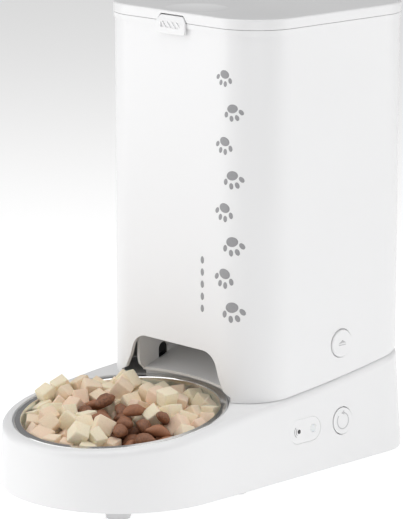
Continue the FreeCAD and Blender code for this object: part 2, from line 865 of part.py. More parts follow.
def chute():
    knee_y, back = D["ramp_knee_y"], D["chute_back_y"]
    knee_z = ramp_z(knee_y)
    back_z = knee_z + (back - knee_y) * tan(D["ramp_back_slope"])
    thin = D["lip_thickness"]
    start = casing_front_y
    ramp = side_prism("ramp", [(start, ramp_z(start)), (knee_y, knee_z), (back, back_z),
                               (back, back_z - thin * 1.3), (knee_y, knee_z - thin * 1.1),
                               (start, ramp_z(start) - thin)], -chute_outer + 1, chute_outer - 1)
    lip_cut = rod_z("lip_cut", D["lip_radius"], 0, lip_front_y - D["lip_radius"], 0, D["casing_top"])
    under = ramp_z(lip_front_y) - thin - 0.6
    wall_outline = [(chute_front_y, D["chute_top"]), (chute_front_y, ramp_z(chute_front_y) + 9),
                    (chute_front_y + 1.3, ramp_z(chute_front_y) + 4.5),
                    (chute_front_y + 4.4, ramp_z(chute_front_y) + 1.6), (lip_front_y - 4, under),
                    (lip_front_y + 2, under), (lip_front_y + 2, below_seam), (back, below_seam),
                    (back, D["chute_top"])]
    walls = [side_prism("chute_wall_left", wall_outline, -chute_outer, -D["chute_half"]),
             side_prism("chute_wall_right", wall_outline, D["chute_half"], chute_outer)]
    back_wall = box("chute_back", -chute_outer, chute_outer, back - D["chute_wall"], back, below_seam,
                    back_z - thin / 2)
    y0 = lip_front_y - D["collar_reach"]
    y1 = lip_front_y + D["chute_setback"] + D["collar_reach"] * 3
    under_ramp = side_prism("under_ramp", [(y0, below_seam), (y1, below_seam), (y1, ramp_z(y1) - thin / 2),
                                           (y0, ramp_z(y0) - thin / 2)], -chute_outer + 1, chute_outer - 1)
    collar = common("collar", under_ramp,
                    cut("collar_ring",
                        deck_rod("collar_outer", D["seat_radius"] + D["collar_wall"], -5, 60),
                        deck_rod("collar_inner", D["seat_radius"] + D["bowl_gap"], -6, 61)))
    body = fuse("chute_body", cut("ramp_lip", ramp, lip_cut), back_wall, collar, *walls)
    whole = common("chute_on_seam", body, above_seam("chute_seam", -0.1),
                   box("chute_limit", -casing_half_x, casing_half_x, front_y, back_y, 0, D["chute_top"]))
    return cut("chute", whole, eye_slot("eye_hole_left", -chute_outer - 1, -D["chute_half"] + 1, 0),
               eye_slot("eye_hole_right", D["chute_half"] - 1, chute_outer + 1, 0))


def sensor(node, side):
    near, far = (D["chute_half"] + 1.4) * side, (chute_outer - 0.1) * side
    low, high = (near, far) if side > 0 else (far, near)
    slot = eye_slot(node + "_slot", low, high, 0.05)
    ramp_top = side_prism(node + "_limit", [
        (casing_front_y, ramp_z(casing_front_y) - 1), (60, ramp_z(dim(60)) - 1), (60, 120),
        (casing_front_y, 120)], low, high)
    return common(node, slot, ramp_top)


def gearbox():
    half = D["gearbox_depth"] / 2
    y = D["rotor_y"]
    top = gearbox_top
    shell = box("gearbox_block", -(gearbox_x + D["gearbox_width"]), -gearbox_x, y - half, y + half,
                top - D["gearbox_height"], top)
    return cut("gearbox", shell, rod_x("gearbox_bore", D["shaft_radius"] + D["shaft_fit"],
                                       -(gearbox_x + 9), 0, y, D["pinion_z"]))


def motor():
    z = gearbox_top - D["gearbox_height"] + D["motor_radius"] + 2
    x1 = -gearbox_x
    can = rod_x("motor_can", D["motor_radius"], x1, x1 + D["motor_length"], D["rotor_y"], z)
    end = rod_x("motor_end", D["motor_radius"] / 3, x1 + D["motor_length"],
                x1 + D["motor_length"] + 2.5, D["rotor_y"], z)
    return fuse("motor", can, end)


def pinion():
    obj = gear("drive_pinion", int(D["pinion_teeth"].value), 0)
    return place(obj, -(D["gear_inner_x"] + D["gear_width"]), D["rotor_y"], D["pinion_z"], Y_AXIS, 90)


def pinion_shaft():
    return rod_x("drive_shaft", D["shaft_radius"], -(gearbox_x + 8), -(D["gear_inner_x"] - 0.6),
                 D["rotor_y"], D["pinion_z"])


board_x = D["tray_x"] + tray_half_x + 0.3


def main_board():
    x1 = board_x + D["board_thickness"]
    board = box("board", board_x, x1, D["pill_y"] - D["board_front"], D["feed_y"] + D["board_rear"],
                D["pill_z"] - D["board_below"], D["pill_z"] + D["board_above"])
    chip_y = (D["pill_y"] + D["feed_y"]) / 2
    chip_half = D["chip_side"] / 2
    chip = box("board_chip", x1, x1 + D["chip_height"], chip_y - chip_half, chip_y + chip_half,
               D["pill_z"], D["pill_z"] + D["chip_side"])
    return fuse("main_board", board, chip)


def feed_switch():
    x0 = board_x + D["board_thickness"]
    y, z = D["feed_y"], D["feed_z"]
    half = D["switch_half"]
    return box("feed_switch", x0, x0 + D["switch_height"], y - half, y + half, z - half, z + half)


def feed_button():
    back = side_x(D["feed_z"]) - D["feed_depth"]
    stock = rod_x("feed_stock", D["feed_radius"], back, D["base_width"], D["feed_y"], D["feed_z"])
    return common("feed_button", stock, base_loft("feed_face", -D["feed_proud"]))


def indicator_panel():
    gap = D["pill_gap"]
    stock = pill_prism("panel_stock", D["pill_length"] / 2 - gap, D["pill_height"] / 2 - gap,
                       casing_half_x - REACH_PAST, D["base_width"])
    skin = cut("panel_skin", base_loft("panel_outside", gap), base_loft("panel_inside", D["pill_depth"]))
    light = rod_x("light_hole", D["lamp_radius"] + gap, casing_half_x - REACH_PAST, D["base_width"],
                  D["pill_y"] + D["lamp_offset"], D["pill_z"])
    return cut("indicator_panel", common("panel_bar", stock, skin), light)


def indicator_light():
    stock = rod_x("light_stock", D["lamp_radius"], board_x + D["board_thickness"] + D["gap"],
                  D["base_width"], D["pill_y"] + D["lamp_offset"], D["pill_z"])
    return common("indicator_light", stock, base_loft("light_face", D["pill_gap"]))


def power_jack():
    y1 = back_y - D["base_rear_inset"] - 0.6
    barrel = rod_y("jack_barrel", D["jack_radius"], y1 - D["jack_depth"], y1, D["jack_x"], D["jack_z"])
    bore = rod_y("jack_bore", D["jack_bore"], y1 - D["jack_depth"] + 3, y1 + 1, D["jack_x"], D["jack_z"])
    pin = rod_y("jack_pin", 0.9, y1 - D["jack_depth"] + 2, y1 - 1.5, D["jack_x"], D["jack_z"])
    return fuse("power_jack", cut("jack_shell", barrel, bore), pin)


post_x = casing_half_x - D["post_inset"]


def catch_post():
    """The post that the release button's hook reaches round, under its nose."""
    y, half = D["button_y"], D["post_half"]
    top = D["release_z"] - D["post_drop"]
    post = box("post", post_x, post_x + D["post_thickness"], y - half, y + half, below_seam, top)
    nose = box("post_nose", post_x - D["nose_reach"], post_x + 1, y - half, y + half,
               top - D["nose_height"], top)
    return common("catch_post", fuse("post_and_nose", post, nose), above_seam("post_seam", -0.05))


def bowl():
    """A pressed bowl: flat floor, round corner, sloping wall and a flat rolled rim."""
    outer = D["seat_radius"] - D["bowl_gap"]
    inner = outer - D["bowl_rim_width"]
    sheet_t = D["bowl_sheet"]
    top = D["bowl_rim_height"] - D["seat_step"] + 0.1
    floor = top - D["bowl_depth"]
    foot = D["bowl_floor_radius"]
    body = turned("bowl", [
        (0, floor), (foot, floor), (inner - 2.5, top - 8), (inner - 0.4, top - 1.6),
        (inner - 0.4, top - D["bowl_rim_height"]),
        (outer, top - D["bowl_rim_height"]), (outer, top - 0.7), (outer - 0.7, top),
        (inner - 0.7, top), (inner - 1.3, top - 0.6), (inner - 3.4, top - 8.3),
        (foot - 0.6, floor + sheet_t), (0, floor + sheet_t)])
    floor_z = floor.value
    sheet_v = sheet_t.value

    def at_foot(edge, middle):
        return abs(middle.z - floor_z) < 0.01 and edge.BoundBox.XLength > 50

    def at_inner_foot(edge, middle):
        return abs(middle.z - floor_z - sheet_v) < 0.01 and edge.BoundBox.XLength > 50

    round_edges(body, D["bowl_corner"], at_foot)
    round_edges(body, D["bowl_corner"] - sheet_t, at_inner_foot)
    return on_deck(body)


# ---- Tower ----

lid_front_y = tower_y - casing_half_y - D["rim_overhang"]
hinge_y = back_y - D["hinge_inset"]
hinge_z = D["casing_top"] + D["hinge_rise"]


def arch_tool():
    """The opening in the tower's front: feet that clear the bowl seat, and round shoulders."""
    foot, knee, top = D["arch_foot_half"], D["arch_knee_half"], D["arch_top_half"]
    ankle = D["arch_ankle_half"]
    right = [(foot, D["deck_height"] - REACH_PAST), (foot, D["arch_foot_height"]),
             (ankle, D["arch_ankle_height"]), (knee, D["arch_knee_height"]), (top, D["arch_top"])]
    left = [(-x, z) for x, z in reversed(right)]
    body = front_prism("arch", right + left, casing_front_y - REACH_PAST, casing_front_y + REACH_PAST)
    arch_top = D["arch_top"].value

    def at_shoulder(edge, middle):
        along_y = edge.BoundBox.YLength > 5
        return along_y and abs(middle.z - arch_top) < 0.01

    round_edges(body, D["arch_round"], at_shoulder)
    return body


def hopper_casing():
    top = D["casing_top"]
    rim = D["rim_overhang"]
    outer = rounded_prism("casing_outer", casing_half_x, casing_half_y, D["casing_corner"], below_seam, top,
                          tower_y)
    band = rounded_prism("casing_rim", casing_half_x + rim, casing_half_y + rim, D["lid_corner"],
                         top - D["rim_height"], top, tower_y)
    inner = rounded_prism("casing_inner", casing_half_x - D["wall"], casing_half_y - D["wall"],
                          D["casing_corner"] - D["wall"], below_seam - 1, top + 1, tower_y)
    knuckle = D["knuckle_radius"]
    ears = []
    for side in (-1, 1):
        x0, x1 = D["hinge_half"] - D["ear_width"], D["hinge_half"]
        low, high = (x0, x1) if side > 0 else (-x1, -x0)
        ears.append(box(f"ear_{side}", low, high, hinge_y - knuckle, hinge_y + knuckle, top - 2, hinge_z))
        ears.append(rod_x(f"ear_round_{side}", knuckle, low, high, hinge_y, hinge_z))
    skin = cut("casing_skin", fuse("casing_stock", outer, band), inner)
    body = common("casing_body", fuse("casing_parts", skin, *ears),
                  above_seam("casing_seam", -D["seam_gap"]))
    return cut("hopper_casing", body, arch_tool(),
               rod_x("release_hole", D["button_radius"] + D["button_gap"], post_x, casing_half_x + REACH_PAST,
                     D["button_y"], D["release_z"]),
               rod_x("ear_bore", D["hinge_pin_radius"] + D["shaft_fit"], -casing_half_x, casing_half_x,
                     hinge_y, hinge_z))


bin_half_x = casing_half_x - D["bin_gap"]
bin_half_y = casing_half_y - D["bin_gap"]
bin_corner = D["casing_corner"] - D["bin_gap"]
throat_half_x = D["rotor_half_length"] + D["rotor_clearance"]
throat_half_y = D["rotor_radius"] - 8
drum_half = throat_half_x + D["drum_wall"]


def funnel(name, inset, spare):
    """The sloping part of the bin, from its full width to the throat over the drum."""
    body = new_body(name)
    wall = D["bin_wall"]
    low = sketch_on(body, "XY_Plane", D["funnel_bottom"] - spare)
    rounded_rectangle(low, throat_half_x + wall - inset, throat_half_y + wall - inset, 4 - inset / 2,
                      D["rotor_y"])
    high = sketch_on(body, "XY_Plane", D["funnel_top"])
    rounded_rectangle(high, bin_half_x - inset, bin_half_y - inset, bin_corner - inset, tower_y)
    loft = body.newObject("PartDesign::AdditiveLoft", name + "_loft")
    loft.Profile = low
    loft.Sections = [high]
    loft.Ruled = True
    return body


def food_bin():
    wall = D["bin_wall"]
    top = D["bin_top"]
    outer = rounded_prism("bin_outer", bin_half_x, bin_half_y, bin_corner, D["funnel_top"], top, tower_y)
    reach = D["wall"] + D["gap"]
    flange = rounded_prism("bin_flange_plate", casing_half_x - reach, casing_half_y - reach,
                           D["casing_corner"] - reach, top - D["bin_flange"], top, tower_y)
    inner = rounded_prism("bin_inner", bin_half_x - wall, bin_half_y - wall, bin_corner - wall,
                          D["funnel_top"], top + 1, tower_y)
    return cut("food_bin", fuse("bin_body", outer, flange, funnel("funnel_outer", dim(0), 0)),
               inner, funnel("funnel_inner", wall, 0.02))


def metering_drum():
    y = D["rotor_y"]
    room = D["rotor_radius"] + D["rotor_clearance"]
    neck_y = throat_half_y + D["bin_wall"]
    bottom = D["funnel_bottom"]
    shell = fuse("drum_stock", rod_x("drum_outer", drum_radius, -drum_half, drum_half, y, rotor_z),
                 box("neck_outer", -drum_half, drum_half, y - neck_y, y + neck_y, rotor_z, bottom))
    mouth_y = D["chute_back_y"] - D["chute_wall"] - 2
    return cut("metering_drum", shell,
               rod_x("drum_room", room, -throat_half_x, throat_half_x, y, rotor_z),
               box("neck_room", -throat_half_x, throat_half_x, y - throat_half_y, y + throat_half_y,
                   rotor_z, bottom + 1),
               box("drum_mouth", -throat_half_x + 2, throat_half_x - 2, y - drum_radius * 2, mouth_y,
                   rotor_z - drum_radius * 2, rotor_z - 4),
               rod_x("drum_bore", D["shaft_radius"] + D["shaft_fit"], -casing_half_x, casing_half_x, y,
                     rotor_z))


def hopper_floor():
    reach = D["wall"] + D["gap"]
    z0 = D["floor_plate_z"]
    z1 = z0 + D["floor_plate_thickness"]
    plate = rounded_prism("floor_plate", casing_half_x - reach, casing_half_y - reach,
                          D["casing_corner"] - reach, z0, z1, tower_y)
    y = D["rotor_y"]
    gap = D["gap"]
    gear_half = wheel_radius / 2 + 3
    side = D["gear_side_gap"]
    x1 = D["gear_inner_x"] + D["gear_width"] + side
    tongue = D["button_radius"] + D["button_collar"] + 0.8
    return cut("hopper_floor", plate,
               box("drum_window", -drum_half - gap, drum_half + gap, y - drum_radius - gap,
                   y + drum_radius + gap, z0 - 1, z1 + 1),
               box("gear_window", -x1, side - D["gear_inner_x"], y - gear_half, y + gear_half, z0 - 1,
                   z1 + 1),
               box("button_notch", post_x - REACH_PAST, casing_half_x, D["button_y"] - tongue,
                   D["button_y"] + tongue, z0 - 1, z1 + 1))


def gear_cover():
    y = D["rotor_y"]
    skin = D["gear_cover_wall"]
    side = D["gear_side_gap"]
    x0 = D["gear_inner_x"] - side
    x1 = D["gear_inner_x"] + D["gear_width"] + side
    half = wheel_radius + D["gear_module"] + skin
    z0 = D["floor_plate_z"] + D["floor_plate_thickness"]
    top = rotor_z + half
    outer = box("gear_cover_outer", -x1 - skin, -x0 + skin, y - half - skin, y + half + skin, z0, top + skin)
    inner = box("gear_cover_inner", -x1, -x0, y - half, y + half, z0 - 1, top)
    bore = rod_x("gear_cover_bore", D["shaft_radius"] + D["gap"], -x0 - 1, 0, y, rotor_z)
    return cut("gear_cover", outer, inner, bore)


def rotor_hub():
    half = D["rotor_half_length"]
    return cut("rotor_hub", rod_x("hub_stock", D["hub_radius"], -half, half, D["rotor_y"], rotor_z),
               rod_x("hub_bore", D["shaft_radius"] + D["shaft_fit"], -half - 1, half + 1, D["rotor_y"],
                     rotor_z))


def rotor_vanes():
    """A moulded soft sleeve with radial vanes that divides the drum into pockets."""
    half = D["rotor_half_length"]
    y = D["rotor_y"]
    sleeve = rod_x("vane_sleeve", D["hub_radius"] + D["vane_sleeve"], -half, half, y, rotor_z)
    vanes = []
    count = int(D["vane_count"].value)
    for i in range(count):
        turn = Dim(360 * i / count + 15, f"(360 / Sizes.vane_count * {i} + 15)")
        vane = doc.addObject("Part::Box", f"vane_{i}")
        bind(vane, Length=half * 2, Width=D["vane_thickness"], Height=D["rotor_radius"])
        across = D["vane_thickness"] / 2
        place(vane, -half, y - across * cos(turn), rotor_z - across * sin(turn), X_AXIS, turn)
        vanes.append(vane)
    return cut("rotor_vanes", fuse("vane_stock", sleeve, *vanes),
               rod_x("vane_bore", D["hub_radius"] + D["shaft_fit"], -half - 1, half + 1, y, rotor_z))


def rotor_shaft():
    x0 = D["gear_inner_x"] + D["gear_width"] + 0.8
    return rod_x("rotor_shaft", D["shaft_radius"], -x0, drum_half + 1.5, D["rotor_y"], rotor_z)


def rotor_wheel():
    teeth = int(D["wheel_teeth"].value)
    obj = gear("rotor_wheel", teeth, 0.5)
    return place(obj, -(D["gear_inner_x"] + D["gear_width"]), D["rotor_y"], rotor_z, Y_AXIS, 90)


def release_button():
    """A round push cap with a collar behind the wall and a hook that reaches round the post."""
    face = casing_half_x + D["release_proud"]
    back = casing_half_x - D["wall"] - D["gap"]
    radius = D["button_radius"]
    y, z = D["button_y"], D["release_z"]
    collar, flange = D["button_collar"], D["button_flange"]
    bevel = D["button_bevel"]
    height = face - back + flange
    cap = turned("release_cap", [(0, 0), (radius + collar, 0), (radius + collar, flange), (radius, flange),
                                 (radius, height - bevel), (radius - bevel, height), (0, height)])
    place(cap, back - flange, y, z, Y_AXIS, 90)
    half = D["hook_half"]
    leg_x = post_x - D["nose_reach"] - D["hook_clearance"]
    arm_top = z - D["arm_drop"]
    foot = z - D["hook_drop"]
    arm = box("release_arm", leg_x - D["hook_wall"], back - 1, y - half, y + half,
              arm_top - D["arm_height"], arm_top)
    leg = box("release_leg", leg_x - D["hook_wall"], leg_x, y - half, y + half, foot, arm_top)
    hook = box("release_hook", leg_x - 0.7, leg_x + D["hook_reach"], y - half, y + half, foot,
               foot + D["hook_height"])
    return fuse("release_button", cap, arm, leg, hook)


# ---- Lid ----

lid_bottom = D["casing_top"] + D["lid_seam"]
lid_top = lid_bottom + D["lid_thickness"]
latch_y = lid_front_y + D["latch_pin_setback"]
latch_z = lid_bottom + D["latch_pin_rise"]
latch_pin_half = D["latch_half"] + D["latch_side_gap"] + D["latch_pin_grip"]


def latch_outline(name, side_gap, top_gap, y0, y1):
    """The latch's front outline, straight at the rim and narrower above it, grown by its gaps."""
    half = D["latch_half"] + side_gap
    top_half = D["latch_top_half"] + side_gap
    low = D["casing_top"] - D["latch_drop"]
    rim = D["casing_top"]
    high = D["casing_top"] + D["latch_rise"] + top_gap
    right = [(half, low), (half, rim), (top_half, high)]
    left = [(-x, z) for x, z in reversed(right)]
    body = front_prism(name, right + left, y0, y1)
    edge_heights = (low.value, high.value)

    def at_corner(edge, middle):
        along_y = edge.BoundBox.YLength > 3
        return along_y and min(abs(middle.z - height) for height in edge_heights) < 0.01

    round_edges(body, D["latch_corner"], at_corner)
    return body


def lid():
    half_x = casing_half_x + D["rim_overhang"]
    half_y = casing_half_y + D["rim_overhang"]
    plate = rounded_prism("lid_plate", half_x, half_y, D["lid_corner"], lid_bottom, lid_top, tower_y)
    top_z = lid_top.value
    round_edges(plate, D["lid_round"], lambda edge, middle: abs(middle.z - top_z) < 0.01)
    relief = D["lid_relief"]
    rear = side_prism("lid_rear_relief", [(back_y + 1, lid_bottom - 1), (back_y + 1, lid_bottom + relief + 1),
                                          (back_y - relief - 1, lid_bottom - 1)], -200, 200)
    notch = latch_outline("latch_notch", D["latch_side_gap"], D["latch_top_gap"], lid_front_y - REACH_PAST,
                          lid_front_y + D["latch_depth"] + D["latch_back_gap"])
    line_x, line_y = half_x - D["lid_line_inset"], half_y - D["lid_line_inset"]
    line_corner = D["lid_corner"] - D["lid_line_inset"]
    width = D["lid_line_width"]
    line_floor = lid_top - D["lid_line_depth"]
    line = cut("lid_line",
               rounded_prism("line_outer", line_x, line_y, line_corner, line_floor, lid_top + 1, tower_y),
               rounded_prism("line_inner", line_x - width, line_y - width, line_corner - width,
                             line_floor - 1, lid_top + 2, tower_y))
    gap = D["gap"]
    hinge_notch = box("hinge_notch", -D["hinge_half"] - gap, D["hinge_half"] + gap,
                      hinge_y - D["knuckle_radius"] - 0.5, back_y + 5, lid_bottom - 1, lid_top + 1)
    pocket = rounded_prism("lid_pocket", half_x - D["pocket_side"], half_y - D["pocket_end"],
                           D["lid_corner"] - D["pocket_side"], lid_bottom - 1, lid_top - D["lid_skin"],
                           tower_y)
    dish_r, dish_d = D["dish_radius"], D["dish_depth"]
    ball_radius = (dish_r * dish_r + dish_d * dish_d) / (dish_d * 2)
    ball = doc.addObject("Part::Sphere", "lid_dish")
    bind(ball, Radius=ball_radius)
    place(ball, 0, lid_front_y + D["dish_setback"], lid_top - dish_d + ball_radius)
    knuckle_x = D["hinge_half"] - D["ear_width"] - gap
    barrel = rod_x("lid_barrel", D["knuckle_radius"], -knuckle_x, knuckle_x, hinge_y, hinge_z)
    web_half = D["lid_web"] / 2
    web = box("lid_web", -knuckle_x, knuckle_x, hinge_y - D["knuckle_radius"] * 2.4, hinge_y,
              hinge_z - web_half, hinge_z + web_half)
    shell = cut("lid_shell", plate, rear, notch, hinge_notch, pocket, ball, line)
    return cut("lid", fuse("lid_body", shell, barrel, web),
               rod_x("lid_bore", D["hinge_pin_radius"] + D["shaft_fit"], -half_x, half_x, hinge_y, hinge_z),
               rod_x("latch_bore", D["latch_pin_radius"] + D["shaft_fit"], -latch_pin_half, latch_pin_half,
                     latch_y, latch_z))


def hinge_pin():
    reach = D["hinge_half"] - 0.5
    return rod_x("hinge_pin", D["hinge_pin_radius"], -reach, reach, hinge_y, hinge_z)


def latch():
    """A pull latch that lies flush in the lid and stands proud over the rim."""
    top = D["casing_top"]
    y = lid_front_y
    front = y - D["latch_proud"]
    gap = D["latch_lip_gap"]
    back = y + D["latch_depth"]
    foot = top - D["latch_drop"]
    high = top + D["latch_rise"]
    outline = [(y - gap, foot), (front + 0.4, foot), (front, foot + 0.6), (front, top - 1),
               (y - 0.6, top + 2.2), (y, high), (back, high), (back, top + 1.1), (y - gap, top + 0.7)]
    half = D["latch_half"]
    stock = common("latch_stock", side_prism("latch_side", outline, -half, half),
                   latch_outline("latch_face", 0, 0, front - 1, back + 1))
    grip_x = D["grip_half"]
    low, high = top - D["grip_drop"], top
    floor = front + D["grip_depth"]
    grip = box("latch_grip", -grip_x, grip_x, front - 1, floor, low, high)
    count = int(D["grip_rib_count"].value)
    width = D["grip_rib"]
    lean = high - low
    ribs = []
    for i in range(count):
        x = grip_x * (2 * (i + 0.5) / count - 1) - lean / 2 - width / 2
        ribs.append(front_prism(f"latch_rib_{i}", [(x, high + 0.2), (x + width, high + 0.2),
                                                   (x + width + lean, low - 0.2), (x + lean, low - 0.2)],
                                front + 0.2, floor + 0.2))
    kept = common("latch_ribs", fuse("latch_rib_set", *ribs),
                  box("latch_rib_room", -grip_x - 0.2, grip_x + 0.2, front, floor + 0.2, low - 0.2,
                      high + 0.2))
    return cut("latch", fuse("latch_ribbed", cut("latch_body", stock, grip), kept),
               rod_x("latch_pin_bore", D["latch_pin_radius"] + D["shaft_fit"], -latch_pin_half,
                     latch_pin_half, latch_y, latch_z))


def latch_pin():
    reach = latch_pin_half - D["gap"]
    return rod_x("latch_pin", D["latch_pin_radius"], -reach, reach, latch_y, latch_z)


liner_bottom = lid_bottom - D["liner_depth"]
liner_half_x = bin_half_x - D["bin_wall"] - D["liner_gap"]
liner_half_y = bin_half_y - D["bin_wall"] - D["liner_gap"]
liner_corner = bin_corner - D["bin_wall"] - D["liner_gap"]


def lid_liner():
    wall = D["liner_wall"]
    outer = rounded_prism("liner_outer", liner_half_x, liner_half_y, liner_corner, liner_bottom,
                          lid_bottom, tower_y)
    inner = rounded_prism("liner_inner", liner_half_x - wall, liner_half_y - wall, liner_corner - wall,
                          liner_bottom + wall, lid_bottom + 1, tower_y)
    return cut("lid_liner", outer, inner)


def lid_seal():
    spare = D["liner_gap"] - D["seal_gap"]
    z0 = liner_bottom + 3
    outer = rounded_prism("seal_outer", liner_half_x + spare, liner_half_y + spare, liner_corner + spare,
                          z0, z0 + D["seal_height"], tower_y)
    inner = rounded_prism("seal_inner", liner_half_x + 0.02, liner_half_y + 0.02, liner_corner + 0.02,
                          z0 - 1, z0 + D["seal_height"] + 1, tower_y)
    return cut("lid_seal", outer, inner)


case_bottom = liner_bottom - D["case_depth"]


def desiccant_case():
    radius, wall = D["case_half"], D["case_wall"]
    return cut("desiccant_case", rod_z("case_outer", radius, 0, tower_y, case_bottom, liner_bottom),
               rod_z("case_inner", radius - wall, 0, tower_y, case_bottom - 1, liner_bottom - wall))


def desiccant_pack():
    radius = D["case_half"] - D["case_wall"] - 0.6
    return rod_z("desiccant_pack", radius, 0, tower_y, case_bottom + 1.2, liner_bottom - D["case_wall"] - 0.4)


def desiccant_cap():
    radius = D["case_half"]
    gap = D["gap"]
    z1 = case_bottom - gap
    z0 = z1 - D["cap_thickness"]
    disc = rod_z("cap_disc", radius, 0, tower_y, z0, z1)
    half = D["cap_grip_wall"] / 2
    grip = box("cap_grip", -radius / 2, radius / 2, tower_y - half, tower_y + half,
               z0 - D["cap_grip_height"], z0 + 0.5)
    vents = []
    count = int(D["vent_count"].value)
    ring = radius * 0.7
    for i in range(count):
        angle = math.radians(360 * (i + 0.5) / count)
        x, y = ring * math.cos(angle), tower_y + ring * math.sin(angle)
        vents.append(rod_z(f"cap_vent_{i}", D["vent_radius"], x, y, z0 - REACH_PAST, z1 + REACH_PAST))
    return cut("desiccant_cap", fuse("cap_body", disc, grip), *vents)


def main():
    for node, maker in (
            ("base_shell", base_shell), ("bottom_cover", bottom_cover), ("cover_screws", cover_screws),
            ("feet", feet), ("battery_tray", battery_tray), ("battery_cells", battery_cells),
            ("battery_door", battery_door), ("chute", chute), ("gearbox", gearbox), ("motor", motor),
            ("drive_pinion", pinion), ("drive_shaft", pinion_shaft), ("main_board", main_board),
            ("feed_switch", feed_switch), ("feed_button", feed_button),
            ("indicator_panel", indicator_panel), ("indicator_light", indicator_light),
            ("power_jack", power_jack), ("catch_post", catch_post), ("bowl", bowl),
            ("hopper_casing", hopper_casing), ("food_bin", food_bin), ("metering_drum", metering_drum),
            ("hopper_floor", hopper_floor), ("gear_cover", gear_cover), ("rotor_hub", rotor_hub),
            ("rotor_vanes", rotor_vanes), ("rotor_shaft", rotor_shaft), ("rotor_wheel", rotor_wheel),
            ("release_button", release_button), ("hinge_pin", hinge_pin), ("lid", lid),
            ("latch", latch), ("latch_pin", latch_pin), ("lid_liner", lid_liner), ("lid_seal", lid_seal),
            ("desiccant_case", desiccant_case), ("desiccant_pack", desiccant_pack),
            ("desiccant_cap", desiccant_cap)):
        part(node, maker())
    part("drop_sensor_left", sensor("drop_sensor_left", -1))
    part("drop_sensor_right", sensor("drop_sensor_right", 1))
    doc.recompute()
    for obj in doc.Objects:
        if "Invalid" in obj.State or "Error" in obj.State:
            raise RuntimeError(f"{obj.Name} did not build: {obj.State}")
    for node, obj in parts.items():
        if obj.Shape.isNull() or not obj.Shape.isValid() or not obj.Shape.Solids:
            raise RuntimeError(f"{node} is not a valid solid")
    for node, obj in parts.items():
        obj.Shape.exportStep(f"parts/{node}.step")


main()
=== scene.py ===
"""The pet feeder's looks: its finishes, its filled steel bowl and its printed marks."""
import json
import math
import random

import bmesh
import bpy
import numpy
from bpy.props import FloatProperty, FloatVectorProperty, IntProperty, PointerProperty
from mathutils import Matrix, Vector

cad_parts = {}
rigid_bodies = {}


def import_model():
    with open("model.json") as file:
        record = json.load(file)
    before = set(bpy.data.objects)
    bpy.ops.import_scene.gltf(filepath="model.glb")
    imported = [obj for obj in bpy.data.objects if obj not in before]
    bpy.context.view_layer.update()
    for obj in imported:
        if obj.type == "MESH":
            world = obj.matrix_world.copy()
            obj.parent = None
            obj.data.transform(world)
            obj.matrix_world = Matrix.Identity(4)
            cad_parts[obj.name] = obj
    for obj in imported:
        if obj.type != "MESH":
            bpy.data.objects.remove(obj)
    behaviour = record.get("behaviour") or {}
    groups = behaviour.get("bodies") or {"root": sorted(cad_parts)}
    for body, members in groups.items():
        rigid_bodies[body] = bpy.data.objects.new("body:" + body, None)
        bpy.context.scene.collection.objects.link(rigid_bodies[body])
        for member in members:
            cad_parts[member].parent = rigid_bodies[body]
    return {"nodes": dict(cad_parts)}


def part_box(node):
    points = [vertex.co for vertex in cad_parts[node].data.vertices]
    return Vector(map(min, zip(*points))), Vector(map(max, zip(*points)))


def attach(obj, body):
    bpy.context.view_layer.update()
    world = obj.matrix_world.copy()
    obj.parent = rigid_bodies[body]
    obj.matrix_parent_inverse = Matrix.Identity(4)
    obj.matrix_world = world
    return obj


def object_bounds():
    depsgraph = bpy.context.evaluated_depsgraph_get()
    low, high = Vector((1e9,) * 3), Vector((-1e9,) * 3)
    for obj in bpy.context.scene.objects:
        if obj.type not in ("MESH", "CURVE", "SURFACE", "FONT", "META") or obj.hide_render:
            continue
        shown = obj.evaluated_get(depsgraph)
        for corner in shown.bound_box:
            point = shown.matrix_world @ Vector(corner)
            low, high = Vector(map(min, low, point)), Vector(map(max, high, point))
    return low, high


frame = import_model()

bl_info = {
    "name": "Pet feeder",
    "version": (1, 0, 0),
    "blender": (4, 5, 0),
    "location": "View3D > Sidebar > Feeder",
    "description": "Finishes, food and printed marks for a pet feeder with a steel bowl",
    "category": "Object",
}

CAD_BOX = [list(corner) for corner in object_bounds()]
NODES = frame["nodes"]


# ---- Places read from the frame ----

def middle(node):
    low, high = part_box(node)
    return (low + high) / 2


def bowl_axes():
    """The centre of the bowl's rim, and the bowl's own across, along and up directions."""
    points = numpy.array([v.co for v in NODES["bowl"].data.vertices])
    front = points[points[:, 1].argmin()]
    back = points[points[:, 1].argmax()]
    along = Vector((0, float(back[1] - front[1]), float(back[2] - front[2]))).normalized()
    across = Vector((1, 0, 0))
    up = across.cross(along)
    centre = Vector((0, float(front[1] + back[1]) / 2, float(front[2] + back[2]) / 2))
    heights = (points - numpy.array(centre)) @ numpy.array(up)
    return centre + up * float(heights.max()), across, along, up


BOWL_RIM, BOWL_X, BOWL_Y, BOWL_Z = bowl_axes()
BOWL_RADIUS = (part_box("bowl")[1].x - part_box("bowl")[0].x) / 2


# ---- Settings ----

